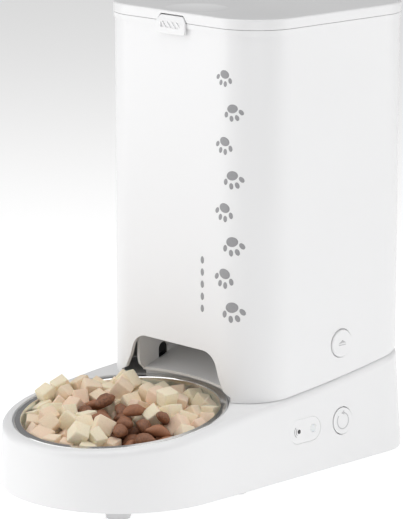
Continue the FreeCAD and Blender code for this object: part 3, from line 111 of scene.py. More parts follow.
class FoodSettings(bpy.types.PropertyGroup):
    """Sizes and colours of the dry food in the bowl."""
    cube_side: FloatProperty(name="Cube side", description="Edge of a freeze-dried cube",
                             default=0.0112, unit="LENGTH")
    kibble_length: FloatProperty(name="Kibble length", description="Long way of a brown kibble",
                                 default=0.0165, unit="LENGTH")
    count: IntProperty(name="Pieces", description="How many pieces fill the bowl", default=246)
    seed: IntProperty(name="Seed", description="Picks how the pieces fall", default=7)
    cube_cream: FloatVectorProperty(name="Cream cubes", description="Colour of the paler cubes",
                                    default=(0.93, 0.83, 0.62), subtype="COLOR", size=3)
    cube_pink: FloatVectorProperty(name="Pink cubes", description="Colour of the meatier cubes",
                                   default=(0.90, 0.69, 0.52), subtype="COLOR", size=3)
    kibble_brown: FloatVectorProperty(name="Kibble", description="Colour of the brown kibble",
                                      default=(0.235, 0.10, 0.05), subtype="COLOR", size=3)


class ShellSettings(bpy.types.PropertyGroup):
    """Colours of the moulded shells and the ink on them."""
    white: FloatVectorProperty(name="Shell white", description="Colour of the white plastic",
                               default=(0.87, 0.87, 0.875), subtype="COLOR", size=3)
    ink: FloatVectorProperty(name="Ink", description="Colour of the printed marks",
                             default=(0.33, 0.33, 0.34), subtype="COLOR", size=3)
    ink_height: FloatProperty(name="Ink height", description="How far a printed mark stands off",
                              default=0.00006, unit="LENGTH", precision=6)
    paw_width: FloatProperty(name="Paw width", description="Width of a printed paw mark",
                             default=0.0165, unit="LENGTH")


class StageSettings(bpy.types.PropertyGroup):
    """The camera, the floor and the lights."""
    azimuth: FloatProperty(name="Azimuth", description="Way round to the camera",
                           default=math.radians(45.85), subtype="ANGLE")
    elevation: FloatProperty(name="Elevation", description="Camera angle above the horizon",
                             default=math.radians(12.65), subtype="ANGLE")
    lens: FloatProperty(name="Lens", description="Focal length in millimetres", default=270.9)
    front_light: FloatProperty(name="Front light", description="Strength of the front softbox",
                               default=10.0)
    side_light: FloatProperty(name="Side light", description="Strength of the side softbox",
                              default=7.4)
    top_light: FloatProperty(name="Top light", description="Strength of the softbox overhead",
                             default=16.0)
    fill_light: FloatProperty(name="Fill light", description="Strength of the small box at the arch",
                              default=0.7)
    sky: FloatProperty(name="Sky", description="Strength of the even white surroundings",
                       default=0.22)
    floor_glow: FloatProperty(name="Floor glow", description="Light given off by the white sweep",
                              default=0.42)


# ---- Shader building ----

class Reading:
    """A shader socket that takes part in Python expressions."""

    def __init__(self, finish, socket):
        self.finish = finish
        self.socket = socket

    def maths(self, operation, *inputs):
        values = dict(enumerate(inputs))
        return self.finish.node("ShaderNodeMath", {"operation": operation}, values)

    def __add__(self, other):
        return self.maths("ADD", self, other)

    def __sub__(self, other):
        return self.maths("SUBTRACT", self, other)

    def __rsub__(self, other):
        return self.maths("SUBTRACT", other, self)

    def __mul__(self, other):
        return self.maths("MULTIPLY", self, other)

    __radd__ = __add__
    __rmul__ = __mul__

    def over(self, edge):
        return self.maths("GREATER_THAN", self, edge)


class Finish:
    """A material whose surface is one principled shader."""

    def __init__(self, name, colour, roughness, metallic=0.0, **constants):
        self.material = bpy.data.materials.new(name)
        self.material.use_nodes = True
        self.material.diffuse_color = (*colour, 1)
        self.tree = self.material.node_tree
        self.shader = self.tree.nodes["Principled BSDF"]
        self.set("Base Color", (*colour, 1))
        self.set("Roughness", roughness)
        self.set("Metallic", metallic)
        for socket, value in constants.items():
            self.set(socket.replace("_", " "), value)

    def set(self, socket, value):
        """Puts a value on the shader's own socket, or links a reading to it."""
        target = self.shader.inputs[socket]
        if isinstance(value, Reading):
            self.tree.links.new(value.socket, target)
        else:
            target.default_value = value

    def node(self, kind, settings=None, values=None, output=0):
        """Adds a node: its settings first, then the values or links of its sockets."""
        made = self.tree.nodes.new(kind)
        for name, setting in (settings or {}).items():
            if name == "stops":
                for _ in range(len(setting) - len(made.color_ramp.elements)):
                    made.color_ramp.elements.new(0.5)
                for element, (position, colour) in zip(made.color_ramp.elements, setting):
                    element.position = position
                    element.color = colour
            else:
                setattr(made, name, setting)
        for socket, value in (values or {}).items():
            if isinstance(value, Reading):
                self.tree.links.new(value.socket, made.inputs[socket])
            else:
                made.inputs[socket].default_value = value
        return Reading(self, made.outputs[output])

    def place(self):
        """Object coordinates, in metres."""
        return self.node("ShaderNodeTexCoord", output="Object")

    def noise(self, scale, detail=3.0, roughness=0.5, place=None, output="Fac"):
        return self.node("ShaderNodeTexNoise", {"noise_dimensions": "3D"},
                         {"Vector": place or self.place(), "Scale": scale, "Detail": detail,
                          "Roughness": roughness}, output)

    def ramp(self, reading, low, high, start=0.0, end=1.0):
        """Spreads a reading between two values, smoothly."""
        return self.node("ShaderNodeMapRange", {"interpolation_type": "SMOOTHSTEP"},
                         {"Value": reading, "From Min": start, "From Max": end,
                          "To Min": low, "To Max": high})

    def blend(self, share, first, second):
        """A colour between two colours."""
        return self.node("ShaderNodeMix", {"data_type": "RGBA"},
                         {0: share, 6: first if isinstance(first, Reading) else (*first, 1),
                          7: second if isinstance(second, Reading) else (*second, 1)}, 2)

    def bump(self, height, strength, distance):
        self.set("Normal", self.node("ShaderNodeBump", values={
            "Height": height, "Strength": strength, "Distance": distance}))


def shade(colour, factor):
    return tuple(min(1.0, channel * factor) for channel in colour)


def moulded(name, colour, roughness, grain=2600.0, relief=0.05, coat=0.0):
    """Injection-moulded plastic: a fine spark-eroded grain and slow changes in gloss."""
    finish = Finish(name, colour, roughness, IOR=1.49, Coat_Weight=coat, Coat_Roughness=0.12)
    cloud = finish.noise(14.0, 2.0)
    finish.set("Base Color", finish.blend(cloud, shade(colour, 0.985), shade(colour, 1.01)))
    speck = finish.noise(grain, 2.0, 0.6)
    finish.set("Roughness", finish.ramp(cloud + speck * 0.3, roughness - 0.04, roughness + 0.05,
                                        0.35, 0.95))
    finish.bump(speck, relief, 0.00005)
    return finish.material


def turned_steel(name, colour, shaded_inside, roughness, centre, axis, relief=0.12):
    """Polished sheet steel with the rings that spinning leaves; brighter in a band at the rim as a
    painted highlight and greyer under it as painted shade.
    """
    finish = Finish(name, colour, roughness, metallic=1.0)
    offset = finish.node("ShaderNodeVectorMath", {"operation": "SUBTRACT"},
                         {0: finish.place(), 1: tuple(centre)})
    radius = finish.node("ShaderNodeVectorMath", {"operation": "LENGTH"}, {0: offset}, "Value")
    rings = finish.node("ShaderNodeTexNoise", {"noise_dimensions": "1D"},
                        {"W": radius, "Scale": 2400.0, "Detail": 3.0})
    smudge = finish.noise(45.0, 3.0)
    height = finish.node("ShaderNodeVectorMath", {"operation": "DOT_PRODUCT"},
                         {0: offset, 1: tuple(axis)}, "Value")
    # Painted light: the band at the rim gets the bright steel colour as a painted highlight, and the
    # bowl below it gets the greyer colour as painted shade.
    rim = finish.ramp(height, 0.0, 1.0, 0.0259, 0.0284)
    finish.set("Base Color", finish.blend(rim, shaded_inside, colour))
    finish.set("Roughness", finish.ramp(smudge + rings * 0.4, roughness - 0.05, roughness + 0.09,
                                        0.4, 1.0))
    finish.bump(rings, relief, 0.00004)
    return finish.material


def drawn_metal(name, colour, roughness, axis=0):
    """Plated or drawn metal with streaks along one axis."""
    finish = Finish(name, colour, roughness, metallic=1.0)
    stretch = [1.0, 1.0, 1.0]
    stretch[axis] = 0.04
    along = finish.node("ShaderNodeMapping", values={"Vector": finish.place(), "Scale": stretch})
    streak = finish.noise(1800.0, 2.0, place=along)
    finish.set("Roughness", finish.ramp(streak, roughness - 0.06, roughness + 0.08, 0.3, 0.7))
    finish.set("Base Color", finish.blend(finish.noise(160.0), shade(colour, 0.92), colour))
    finish.bump(streak, 0.2, 0.00003)
    return finish.material


def soft_rubber(name, colour):
    finish = Finish(name, colour, 0.62, Sheen_Weight=0.15, IOR=1.42)
    speck = finish.noise(1900.0, 3.0)
    finish.set("Base Color", finish.blend(finish.noise(60.0), shade(colour, 0.93), colour))
    finish.set("Roughness", finish.ramp(speck, 0.55, 0.72, 0.3, 0.7))
    finish.bump(speck, 0.12, 0.00008)
    return finish.material


def circuit_board(name):
    """Green lacquer over copper tracks on a square grid."""
    finish = Finish(name, (0.015, 0.12, 0.05), 0.34, Coat_Weight=0.4)
    track = finish.node("ShaderNodeTexVoronoi", {"distance": "MANHATTAN", "feature": "F1"},
                        {"Vector": finish.place(), "Scale": 420.0}, "Distance")
    lines = finish.ramp(track, 0.0, 1.0, 0.28, 0.34)
    finish.set("Base Color", finish.blend(lines, (0.05, 0.26, 0.10), (0.012, 0.10, 0.04)))
    finish.bump(lines, 0.25, 0.00005)
    return finish.material


def cell_jacket(name):
    """A battery's plain printed jacket, with a pale band near one end."""
    finish = Finish(name, (0.03, 0.035, 0.045), 0.3, metallic=0.4)
    length = finish.node("ShaderNodeSeparateXYZ", values={"Vector": finish.place()}, output="Y")
    low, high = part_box("battery_cells")
    band = length.over(high.y - (high.y - low.y) * 0.22)
    finish.set("Base Color", finish.blend(band, (0.03, 0.035, 0.045), (0.62, 0.60, 0.55)))
    finish.bump(finish.noise(300.0), 0.1, 0.0001)
    return finish.material


def sachet_cloth(name):
    """The non-woven cloth of the drying sachet."""
    finish = Finish(name, (0.82, 0.82, 0.79), 0.9, Sheen_Weight=0.3)
    fibres = finish.noise(900.0, 6.0, 0.75)
    dots = finish.node("ShaderNodeTexVoronoi", {"feature": "F1"},
                       {"Vector": finish.place(), "Scale": 600.0}, "Distance")
    finish.set("Base Color", finish.blend(fibres, (0.70, 0.70, 0.67), (0.88, 0.88, 0.86)))
    finish.bump(fibres + dots * 0.6, 0.5, 0.0002)
    return finish.material


def dark_window(name):
    """The black window of an infra-red sensor: smooth, with the faint marks of wiping."""
    finish = Finish(name, (0.006, 0.006, 0.007), 0.12, Coat_Weight=0.5, IOR=1.5)
    finish.set("Roughness", finish.ramp(finish.noise(220.0, 4.0), 0.08, 0.22, 0.3, 0.7))
    finish.bump(finish.noise(700.0, 2.0), 0.04, 0.00003)
    return finish.material


def light_lens(name):
    """The frosted lens of the indicator lamp."""
    finish = Finish(name, (0.82, 0.84, 0.87), 0.35, Subsurface_Weight=0.25, Subsurface_Scale=0.001)
    finish.set("Roughness", finish.ramp(finish.noise(900.0), 0.28, 0.45, 0.3, 0.7))
    finish.bump(finish.noise(1500.0), 0.1, 0.00004)
    return finish.material


def printed_ink(name, colour, roughness=0.45):
    """Screen-printed ink: slightly uneven, with a soft edge to its gloss."""
    finish = Finish(name, colour, roughness)
    grain = finish.noise(2200.0, 3.0)
    finish.set("Base Color", finish.blend(grain, shade(colour, 0.9), shade(colour, 1.08)))
    finish.set("Roughness", finish.ramp(grain, roughness - 0.05, roughness + 0.1, 0.3, 0.7))
    finish.bump(grain, 0.08, 0.00003)
    return finish.material


def freeze_dried(name, cream, pink):
    """Freeze-dried meat: dry, pale and full of fine pores, each cube its own tint."""
    finish = Finish(name, cream, 0.85, Subsurface_Weight=0.12, Subsurface_Scale=0.003,
                    Sheen_Weight=0.2)
    tint = finish.node("ShaderNodeAttribute", {"attribute_name": "tint"}, output="Fac")
    patch = finish.noise(170.0, 4.0, 0.6)
    base = finish.blend(finish.ramp(tint + (patch - 0.5) * 0.5, 0.0, 1.0, 0.15, 0.95), cream, pink)
    fibres = finish.noise(1100.0, 5.0, 0.7)
    pores = finish.node("ShaderNodeTexVoronoi", {"feature": "F1"},
                        {"Vector": finish.place(), "Scale": 1300.0}, "Distance")
    dark = finish.ramp(fibres, 0.35, 0.0, 0.25, 0.55)
    finish.set("Base Color", finish.blend(dark, base, shade(pink, 0.72)))
    finish.bump(fibres * 0.8 + pores * 0.6, 0.55, 0.00045)
    return finish.material


def baked_kibble(name, brown):
    """Baked kibble: brown, a little oily, with a wrinkled and pitted skin."""
    finish = Finish(name, brown, 0.5, Coat_Weight=0.08)
    tint = finish.node("ShaderNodeAttribute", {"attribute_name": "tint"}, output="Fac")
    grain = finish.noise(620.0, 6.0, 0.7)
    skin = finish.blend(finish.ramp(grain, 0.0, 1.0, 0.3, 0.72), shade(brown, 0.5), shade(brown, 1.5))
    finish.set("Base Color", finish.blend(tint * 0.6, skin, shade(brown, 2.1)))
    finish.set("Roughness", finish.ramp(grain, 0.38, 0.66, 0.3, 0.7))
    finish.bump(grain, 0.6, 0.0006)
    return finish.material


FINISHES = {}


def build_finishes(shell):
    """Makes every finish once and keeps it by name."""
    white = tuple(shell.white)
    FINISHES.update({
        "shell": moulded("shell_plastic", white, 0.36, coat=0.25),
        "lid": moulded("lid_plastic", shade(white, 0.985), 0.33, coat=0.3),
        # The chute's white is the shell's white made a touch darker, as painted shade for the arch it
        # sits in.
        "chute": moulded("chute_plastic", shade(white, 0.97), 0.30, coat=0.3),
        "button": moulded("button_plastic", shade(white, 1.0), 0.34, coat=0.2),
        "panel": moulded("panel_plastic", shade(white, 1.0), 0.14, grain=900.0, relief=0.02, coat=0.6),
        "inner": moulded("inner_plastic", (0.62, 0.63, 0.64), 0.5, grain=1500.0, relief=0.12),
        "bin": moulded("bin_plastic", (0.74, 0.75, 0.76), 0.42, grain=1500.0, relief=0.08),
        "gear": moulded("gear_acetal", (0.80, 0.78, 0.71), 0.42, grain=1200.0, relief=0.05),
        "black": moulded("black_plastic", (0.018, 0.018, 0.019), 0.42, grain=1700.0, relief=0.12),
        # The bowl's second colour is painted shade for the steel under its rim.
        "bowl": turned_steel("bowl_steel", (0.86, 0.86, 0.86), (0.62, 0.66, 0.665), 0.17,
                             BOWL_RIM - BOWL_Z * 0.03, BOWL_Z),
        "screw": drawn_metal("screw_steel", (0.62, 0.61, 0.59), 0.32, axis=2),
        "pin": drawn_metal("pin_steel", (0.60, 0.60, 0.60), 0.26, axis=0),
        "motor": drawn_metal("motor_steel", (0.50, 0.50, 0.51), 0.36, axis=0),
        "vane": soft_rubber("vane_silicone", (0.60, 0.61, 0.60)),
        "seal": soft_rubber("seal_silicone", (0.46, 0.47, 0.48)),
        "foot": soft_rubber("foot_rubber", (0.66, 0.66, 0.665)),
        "board": circuit_board("board_lacquer"),
        "cell": cell_jacket("cell_jacket"),
        "cloth": sachet_cloth("sachet_cloth"),
        "window": dark_window("sensor_window"),
        "lens": light_lens("lamp_lens"),
        "ink": printed_ink("printed_ink", tuple(shell.ink)),
        "soft_ink": printed_ink("soft_ink", (0.60, 0.60, 0.61)),
    })


NODE_FINISH = {
    "shell": ["base_shell", "bottom_cover", "battery_door", "hopper_casing"],
    "lid": ["lid"],
    "chute": ["chute"],
    "button": ["feed_button", "release_button", "latch"],
    "panel": ["indicator_panel"],
    "lens": ["indicator_light"],
    "window": ["drop_sensor_left", "drop_sensor_right"],
    "bowl": ["bowl"],
    "foot": ["feet"],
    "screw": ["cover_screws"],
    "pin": ["drive_shaft", "rotor_shaft", "hinge_pin", "latch_pin"],
    "motor": ["motor"],
    "cell": ["battery_cells"],
    "board": ["main_board"],
    "black": ["feed_switch", "power_jack"],
    "gear": ["drive_pinion", "rotor_wheel", "rotor_hub"],
    "vane": ["rotor_vanes"],
    "seal": ["lid_seal"],
    "bin": ["food_bin"],
    "inner": ["battery_tray", "gearbox", "catch_post", "metering_drum", "hopper_floor", "gear_cover",
              "lid_liner", "desiccant_case", "desiccant_cap"],
    "cloth": ["desiccant_pack"],
}


# ---- Mesh and geometry-node helpers ----

def link(name, mesh, material=None):
    obj = bpy.data.objects.new(name, mesh)
    bpy.context.scene.collection.objects.link(obj)
    if material is not None:
        mesh.materials.append(material)
    return obj


def mesh_from(name, bm, smooth=True):
    mesh = bpy.data.meshes.new(name)
    bmesh.ops.recalc_face_normals(bm, faces=bm.faces)
    bm.to_mesh(mesh)
    bm.free()
    mesh.polygons.foreach_set("use_smooth", [smooth] * len(mesh.polygons))
    return mesh


def finished(obj, name):
    """Turns an object's evaluated shape into a plain mesh piece and removes the modifiers."""
    graph = bpy.context.evaluated_depsgraph_get()
    mesh = bpy.data.meshes.new_from_object(obj.evaluated_get(graph))
    mesh.name = name
    old = obj.data
    obj.modifiers.clear()
    obj.data = mesh
    obj.name = name
    bpy.data.meshes.remove(old)
    return obj


class Tree:
    """A geometry-node tree with named inputs."""

    def __init__(self, name, inputs):
        self.group = bpy.data.node_groups.new(name, "GeometryNodeTree")
        self.inputs = {}
        face = self.group.interface
        face.new_socket("Geometry", in_out="INPUT", socket_type="NodeSocketGeometry")
        for label, kind in inputs.items():
            self.inputs[label] = face.new_socket(label, in_out="INPUT", socket_type=kind).identifier
        face.new_socket("Geometry", in_out="OUTPUT", socket_type="NodeSocketGeometry")
        self.start = self.group.nodes.new("NodeGroupInput")
        self.end = self.group.nodes.new("NodeGroupOutput")

    def node(self, kind, settings=None, values=None):
        made = self.group.nodes.new(kind)
        for name, setting in (settings or {}).items():
            setattr(made, name, setting)
        for socket, value in (values or {}).items():
            if isinstance(value, bpy.types.NodeSocket):
                self.group.links.new(value, made.inputs[socket])
            else:
                made.inputs[socket].default_value = value
        return made

    def given(self, label):
        return self.start.outputs[label]

    def finish(self, geometry):
        """Ends the tree in real geometry with its material set."""
        real = self.node("GeometryNodeRealizeInstances", values={"Geometry": geometry})
        painted = self.node("GeometryNodeSetMaterial", values={
            "Geometry": real.outputs[0], "Material": self.given("Material")})
        self.group.links.new(painted.outputs[0], self.end.inputs[0])
        return self.group

    def use(self, obj, **values):
        """Adds the tree to an object as a modifier, with its inputs set."""
        modifier = obj.modifiers.new(self.group.name, "NODES")
        modifier.node_group = self.group
        for label, value in values.items():
            modifier[self.inputs[label]] = value
        return modifier


def scatter_tree():
    """Sets one of a set of shapes on every point, turned and stretched as the point says."""
    tree = Tree("pieces_on_points", {"Shapes": "NodeSocketCollection", "Size": "NodeSocketFloat",
                                     "Material": "NodeSocketMaterial"})
    shapes = tree.node("GeometryNodeCollectionInfo",
                       values={"Collection": tree.given("Shapes"), "Separate Children": True,
                               "Reset Children": True})
    turn = tree.node("GeometryNodeInputNamedAttribute", {"data_type": "FLOAT_VECTOR"}, {"Name": "turn"})
    stretch = tree.node("GeometryNodeInputNamedAttribute", {"data_type": "FLOAT_VECTOR"},
                        {"Name": "stretch"})
    shape = tree.node("GeometryNodeInputNamedAttribute", {"data_type": "INT"}, {"Name": "shape"})
    euler = tree.node("FunctionNodeEulerToRotation", values={"Euler": turn.outputs[0]})
    sized = tree.node("ShaderNodeVectorMath", {"operation": "SCALE"},
                      {0: stretch.outputs[0], "Scale": tree.given("Size")})
    placed = tree.node("GeometryNodeInstanceOnPoints", values={
        "Points": tree.given("Geometry"), "Instance": shapes.outputs[0], "Pick Instance": True,
        "Instance Index": shape.outputs[0], "Rotation": euler.outputs[0],
        "Scale": sized.outputs[0]})
    tree.finish(placed.outputs[0])
    return tree


def laid_tree():
    """Drops flat marks along a direction onto a shell and gives them the thickness of ink."""
    tree = Tree("marks_on_shell", {"Shell": "NodeSocketObject", "Along": "NodeSocketVector",
                                   "Height": "NodeSocketFloat", "Material": "NodeSocketMaterial"})
    shell = tree.node("GeometryNodeObjectInfo", values={"Object": tree.given("Shell")})
    hit = tree.node("GeometryNodeRaycast", values={
        "Target Geometry": shell.outputs["Geometry"], "Ray Direction": tree.given("Along"),
        "Ray Length": 1.0})
    lift = tree.node("ShaderNodeVectorMath", {"operation": "SCALE"},
                     {0: hit.outputs["Hit Normal"], "Scale": tree.given("Height")})
    spot = tree.node("ShaderNodeVectorMath", {"operation": "ADD"},
                     {0: hit.outputs["Hit Position"], 1: lift.outputs[0]})
    laid = tree.node("GeometryNodeSetPosition", values={
        "Geometry": tree.given("Geometry"), "Position": spot.outputs[0]})
    tree.finish(laid.outputs[0])
    return tree


def lay_marks(name, bm, node, along, material, height, body):
    """Makes flat marks into a printed piece that lies on a shell."""
    obj = link(name, mesh_from(name, bm))
    laid_tree().use(obj, Shell=NODES[node], Along=along, Height=height, Material=material)
    piece = finished(obj, name)
    skin = bmesh.new()
    skin.from_mesh(piece.data)
    back = Vector(along) * (height * 1.5)
    thickened = bmesh.ops.extrude_face_region(skin, geom=skin.faces[:], use_keep_orig=True)
    for part in thickened["geom"]:
        if isinstance(part, bmesh.types.BMVert):
            part.co += back
    bmesh.ops.recalc_face_normals(skin, faces=skin.faces)
    skin.to_mesh(piece.data)
    skin.free()
    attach(piece, body)
    return piece


class Marks:
    """Flat marks drawn in a plane: u to the viewer's right and v up."""

    def __init__(self, origin, right, up):
        self.bm = bmesh.new()
        self.origin = Vector(origin)
        self.right = Vector(right)
        self.up = Vector(up)

    def vert(self, u, v):
        return self.bm.verts.new(self.origin + self.right * u + self.up * v)

    def band(self, u, v, inner, outer, start, end, steps=24):
        """A curved band between two radii, from one angle to another in degrees."""
        rows = []
        for i in range(steps + 1):
            angle = math.radians(start + (end - start) * i / steps)
            rows.append([self.vert(u + math.cos(angle) * r, v + math.sin(angle) * r)
                         for r in (inner, outer)])
        for (a, b), (c, d) in zip(rows[:-1], rows[1:]):
            self.bm.faces.new((a, b, d, c))

    def oval(self, u, v, half_u, half_v, turn=0.0, steps=24, rings=3):
        """A filled oval made of rings, so that it can follow a curved shell."""
        swing = math.radians(turn)
        cos, sin = math.cos(swing), math.sin(swing)
        last = None
        centre = self.vert(u, v)
        for ring in range(1, rings + 1):
            share = ring / rings
            row = []
            for i in range(steps):
                angle = 2 * math.pi * i / steps
                x, y = math.cos(angle) * half_u * share, math.sin(angle) * half_v * share
                row.append(self.vert(u + x * cos - y * sin, v + x * sin + y * cos))
            for i in range(steps):
                j = (i + 1) % steps
                if last is None:
                    self.bm.faces.new((centre, row[i], row[j]))
                else:
                    self.bm.faces.new((last[i], row[i], row[j], last[j]))
            last = row

    def shape(self, points):
        self.bm.faces.new([self.vert(u, v) for u, v in points])


def paw(marks, u, v, width, turn):
    """A plain paw print: one broad pad and four toes."""
    swing = math.radians(turn)

    def spot(x, y):
        return (u + (x * math.cos(swing) - y * math.sin(swing)) * width,
                v + (x * math.sin(swing) + y * math.cos(swing)) * width)

    marks.oval(*spot(0, -0.17), width * 0.27, width * 0.21, turn, rings=4)
    for x, y, lean in ((-0.38, 0.06, 22), (-0.14, 0.29, 8), (0.14, 0.29, -8), (0.38, 0.06, -22)):
        marks.oval(*spot(x, y), width * 0.098, width * 0.145, turn + lean, steps=18)


# ---- Food ----

def rounded_cube(rng, name):
    """A cube of food with softened edges and slightly crooked corners."""
    bm = bmesh.new()
    bmesh.ops.create_cube(bm, size=1.0)
    for vert in bm.verts:
        vert.co += Vector([rng.uniform(-0.06, 0.06) for _ in range(3)])
    bmesh.ops.bevel(bm, geom=bm.edges[:], offset=0.09, segments=2, profile=0.6, affect="EDGES")
    return mesh_from(name, bm)


def almond(rng, name):
    """A flattened kibble, blunt at one end and pointed at the other."""
    bm = bmesh.new()
    bmesh.ops.create_uvsphere(bm, u_segments=12, v_segments=9, radius=0.5)
    for vert in bm.verts:
        x, y, z = vert.co.z, vert.co.x, vert.co.y
        narrow = 1 - 0.5 * max(0.0, x * 2) ** 1.5
        bend = 0.05 * math.cos(x * 5)
        vert.co = Vector((x, y * 0.57 * narrow, z * 0.45 * narrow + bend))
        vert.co += Vector([rng.uniform(-0.012, 0.012) for _ in range(3)])
    return mesh_from(name, bm)


def shape_library(name, maker, count, rng):
    """A hidden collection with several variants of a shape."""
    library = bpy.data.collections.new(name)
    for i in range(count):
        shape = maker(rng, f"{name}_{i}")
        library.objects.link(bpy.data.objects.new(f"{name}_{i}", shape))
    return library


def clear_library(library):
    for obj in list(library.objects):
        mesh = obj.data
        bpy.data.objects.remove(obj)
        bpy.data.meshes.remove(mesh)
    bpy.data.collections.remove(library)


def bowl_inside(height):
    """Inner radius of the bowl at a height from its rim, from the frame's own bowl."""
    return numpy.interp(height, BOWL_PROFILE[0], BOWL_PROFILE[1])


def bowl_profile():
    """Heights under the rim and the bowl's inner radius there."""
    points = numpy.array([v.co for v in NODES["bowl"].data.vertices]) - numpy.array(BOWL_RIM)
    height = points @ numpy.array(BOWL_Z)
    radius = numpy.hypot(points @ numpy.array(BOWL_X), points @ numpy.array(BOWL_Y))
    levels = numpy.linspace(height.min() + 0.001, -0.0006, 14)
    inner = []
    for level in levels:
        near = radius[(abs(height - level) < 0.0016) & (radius > 0.02)]
        inner.append(near.min() if len(near) else numpy.nan)
    inner = numpy.array(inner)
    good = ~numpy.isnan(inner)
    return levels[good], numpy.maximum.accumulate(inner[good])


BOWL_PROFILE = bowl_profile()
BOWL_FLOOR = BOWL_PROFILE[0][0]


SPREAD_AT_START = 0.82
FALL_STEPS = 260
ALL_STEPS = 340
FALL, SINK = 0.0004, 0.0001
DRIFT_BACK, DRIFT_LEFT = 0.00004, 0.00003
PUSHES_A_STEP, PUSH_SHARE = 3, 0.55
WALL_CONTACT, FLOOR_CONTACT = 0.92, 0.9


def settle(count, size, rng):
    """Drops round stand-ins for the pieces into the bowl and lets them push each other apart."""
    reach = SPREAD_AT_START * BOWL_RADIUS
    place = numpy.zeros((count, 3))
    for i in range(count):
        angle = rng.uniform(0, 2 * math.pi)
        out = math.sqrt(rng.random()) * reach
        place[i] = (out * math.cos(angle), out * math.sin(angle), BOWL_FLOOR + 0.0003 * i + 0.004)
    radius = numpy.full(count, size / 2)
    spread = radius[:, None] + radius[None, :]
    numpy.fill_diagonal(spread, 0)
    for step in range(ALL_STEPS):
        place[:, 2] -= FALL if step < FALL_STEPS else SINK
        place[:, 1] += DRIFT_BACK
        place[:, 0] -= DRIFT_LEFT
        for _ in range(PUSHES_A_STEP):
            apart = place[:, None, :] - place[None, :, :]
            gap = numpy.sqrt((apart ** 2).sum(2)) + 1e-9
            push = numpy.where(gap < spread, (spread - gap) / gap * 0.5, 0)
            place += (apart * push[:, :, None]).sum(1) * PUSH_SHARE
            out = numpy.hypot(place[:, 0], place[:, 1]) + 1e-9
            wall = bowl_inside(place[:, 2]) - radius * WALL_CONTACT
            over = numpy.where(out > wall, wall / out, 1.0)
            place[:, 0] *= over
            place[:, 1] *= over
            place[:, 2] = numpy.maximum(place[:, 2], BOWL_FLOOR + radius * FLOOR_CONTACT)
    return place


def point_cloud(name, rows):
    """Points with the turn, stretch, shape and tint that each piece of food takes."""
    mesh = bpy.data.meshes.new(name)
    mesh.from_pydata([row["place"] for row in rows], [], [])
    for label, kind, field in (("turn", "FLOAT_VECTOR", "vector"),
                               ("stretch", "FLOAT_VECTOR", "vector"),
                               ("shape", "INT", "value"), ("tint", "FLOAT", "value")):
        attribute = mesh.attributes.new(label, kind, "POINT")
        for item, row in zip(attribute.data, rows):
            setattr(item, field, row[label])
    return link(name, mesh)


def in_frame(place):
    """A place in the bowl's own directions, as a place in the part."""
    x, y, z = (float(value) for value in place)
    return BOWL_RIM + BOWL_X * x + BOWL_Y * y + BOWL_Z * z


POOL_X, POOL_Y = 0.014, 0.013
POOL_LEAN = math.radians(-9)
POOL_LEFT, POOL_RIGHT = 0.044, 0.056
POOL_NARROW, POOL_WIDENS, POOL_FLARE = 0.0075, 0.0135, 0.075
CHUTE_BACK, CHUTE_ROOM = 0.034, 0.0055


def is_kibble(place):
    """Brown kibble shows in a pool that widens from the middle towards the bowl's right."""
    cosine, sine = math.cos(POOL_LEAN), math.sin(POOL_LEAN)
    along = (place[0] - POOL_X) * cosine + (place[1] + POOL_Y) * sine
    across = (place[1] + POOL_Y) * cosine - (place[0] - POOL_X) * sine
    wide = POOL_NARROW + POOL_WIDENS * min(1.0, max(0.0, (along + POOL_LEFT) / POOL_FLARE))
    return -POOL_LEFT < along < POOL_RIGHT and abs(across) < wide


def under_chute(place):
    """A place so high at the back of the bowl that a piece there would touch the chute's lip."""
    return place[1] > CHUTE_BACK and place[2] > -CHUTE_ROOM


def food_rows(food):
    rng = random.Random(food.seed)
    cubes, kibbles = [], []
    for place in settle(food.count, food.cube_side * 1.14, rng):
        if under_chute(place):
            continue
        if is_kibble(place):
            stretch = [rng.uniform(0.86, 1.12), rng.uniform(0.9, 1.15), rng.uniform(0.9, 1.2)]
            turn = (rng.gauss(0, 0.35), rng.gauss(0, 0.3), rng.uniform(0, 2 * math.pi))
            rows = kibbles
        else:
            side = rng.uniform(0.9, 1.1)
            stretch = [side * rng.uniform(0.93, 1.08) for _ in range(3)]
            turn = (rng.gauss(0, 0.45), rng.gauss(0, 0.45), rng.uniform(0, 2 * math.pi))
            rows = cubes
        rows.append({"place": in_frame(place), "turn": turn, "stretch": stretch,
                     "shape": rng.randrange(4), "tint": rng.random()})
    return cubes, kibbles


# ---- Operators ----

class FEEDER_OT_finishes(bpy.types.Operator):
    """Gives every moulded, metal and rubber piece its finish"""
    bl_idname = "feeder.finishes"
    bl_label = "Finishes"

    def execute(self, context):
        build_finishes(context.scene.feeder_shell)
        for finish, nodes in NODE_FINISH.items():
            for node in nodes:
                materials = NODES[node].data.materials
                materials.clear()
                materials.append(FINISHES[finish])
        missed = [node for node in NODES if not NODES[node].data.materials]
        if missed or sum(len(nodes) for nodes in NODE_FINISH.values()) != len(NODES):
            raise RuntimeError(f"pieces with no finish: {missed}")
        return {"FINISHED"}


class FEEDER_OT_food(bpy.types.Operator):
    """Fills the bowl with freeze-dried cubes and brown kibble"""
    bl_idname = "feeder.food"
    bl_label = "Food"

    def execute(self, context):
        food = context.scene.feeder_food
        rng = random.Random(food.seed + 1)
        cubes, kibbles = food_rows(food)
        tree = scatter_tree()
        cube_finish = freeze_dried("freeze_dried_meat", tuple(food.cube_cream), tuple(food.cube_pink))
        kibble_finish = baked_kibble("baked_kibble", tuple(food.kibble_brown))
        for name, rows, maker, size, finish in (
                ("food_cubes", cubes, rounded_cube, food.cube_side, cube_finish),
                ("food_kibble", kibbles, almond, food.kibble_length, kibble_finish)):
            library = shape_library(name + "_shapes", maker, 4, rng)
            cloud = point_cloud(name + "_points", rows)
            tree.use(cloud, Shapes=library, Size=size, Material=finish)
            piece = finished(cloud, name)
            clear_library(library)
            if not piece.data.polygons:
                raise RuntimeError(f"{name} came out empty")
            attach(piece, "bowl")
        return {"FINISHED"}


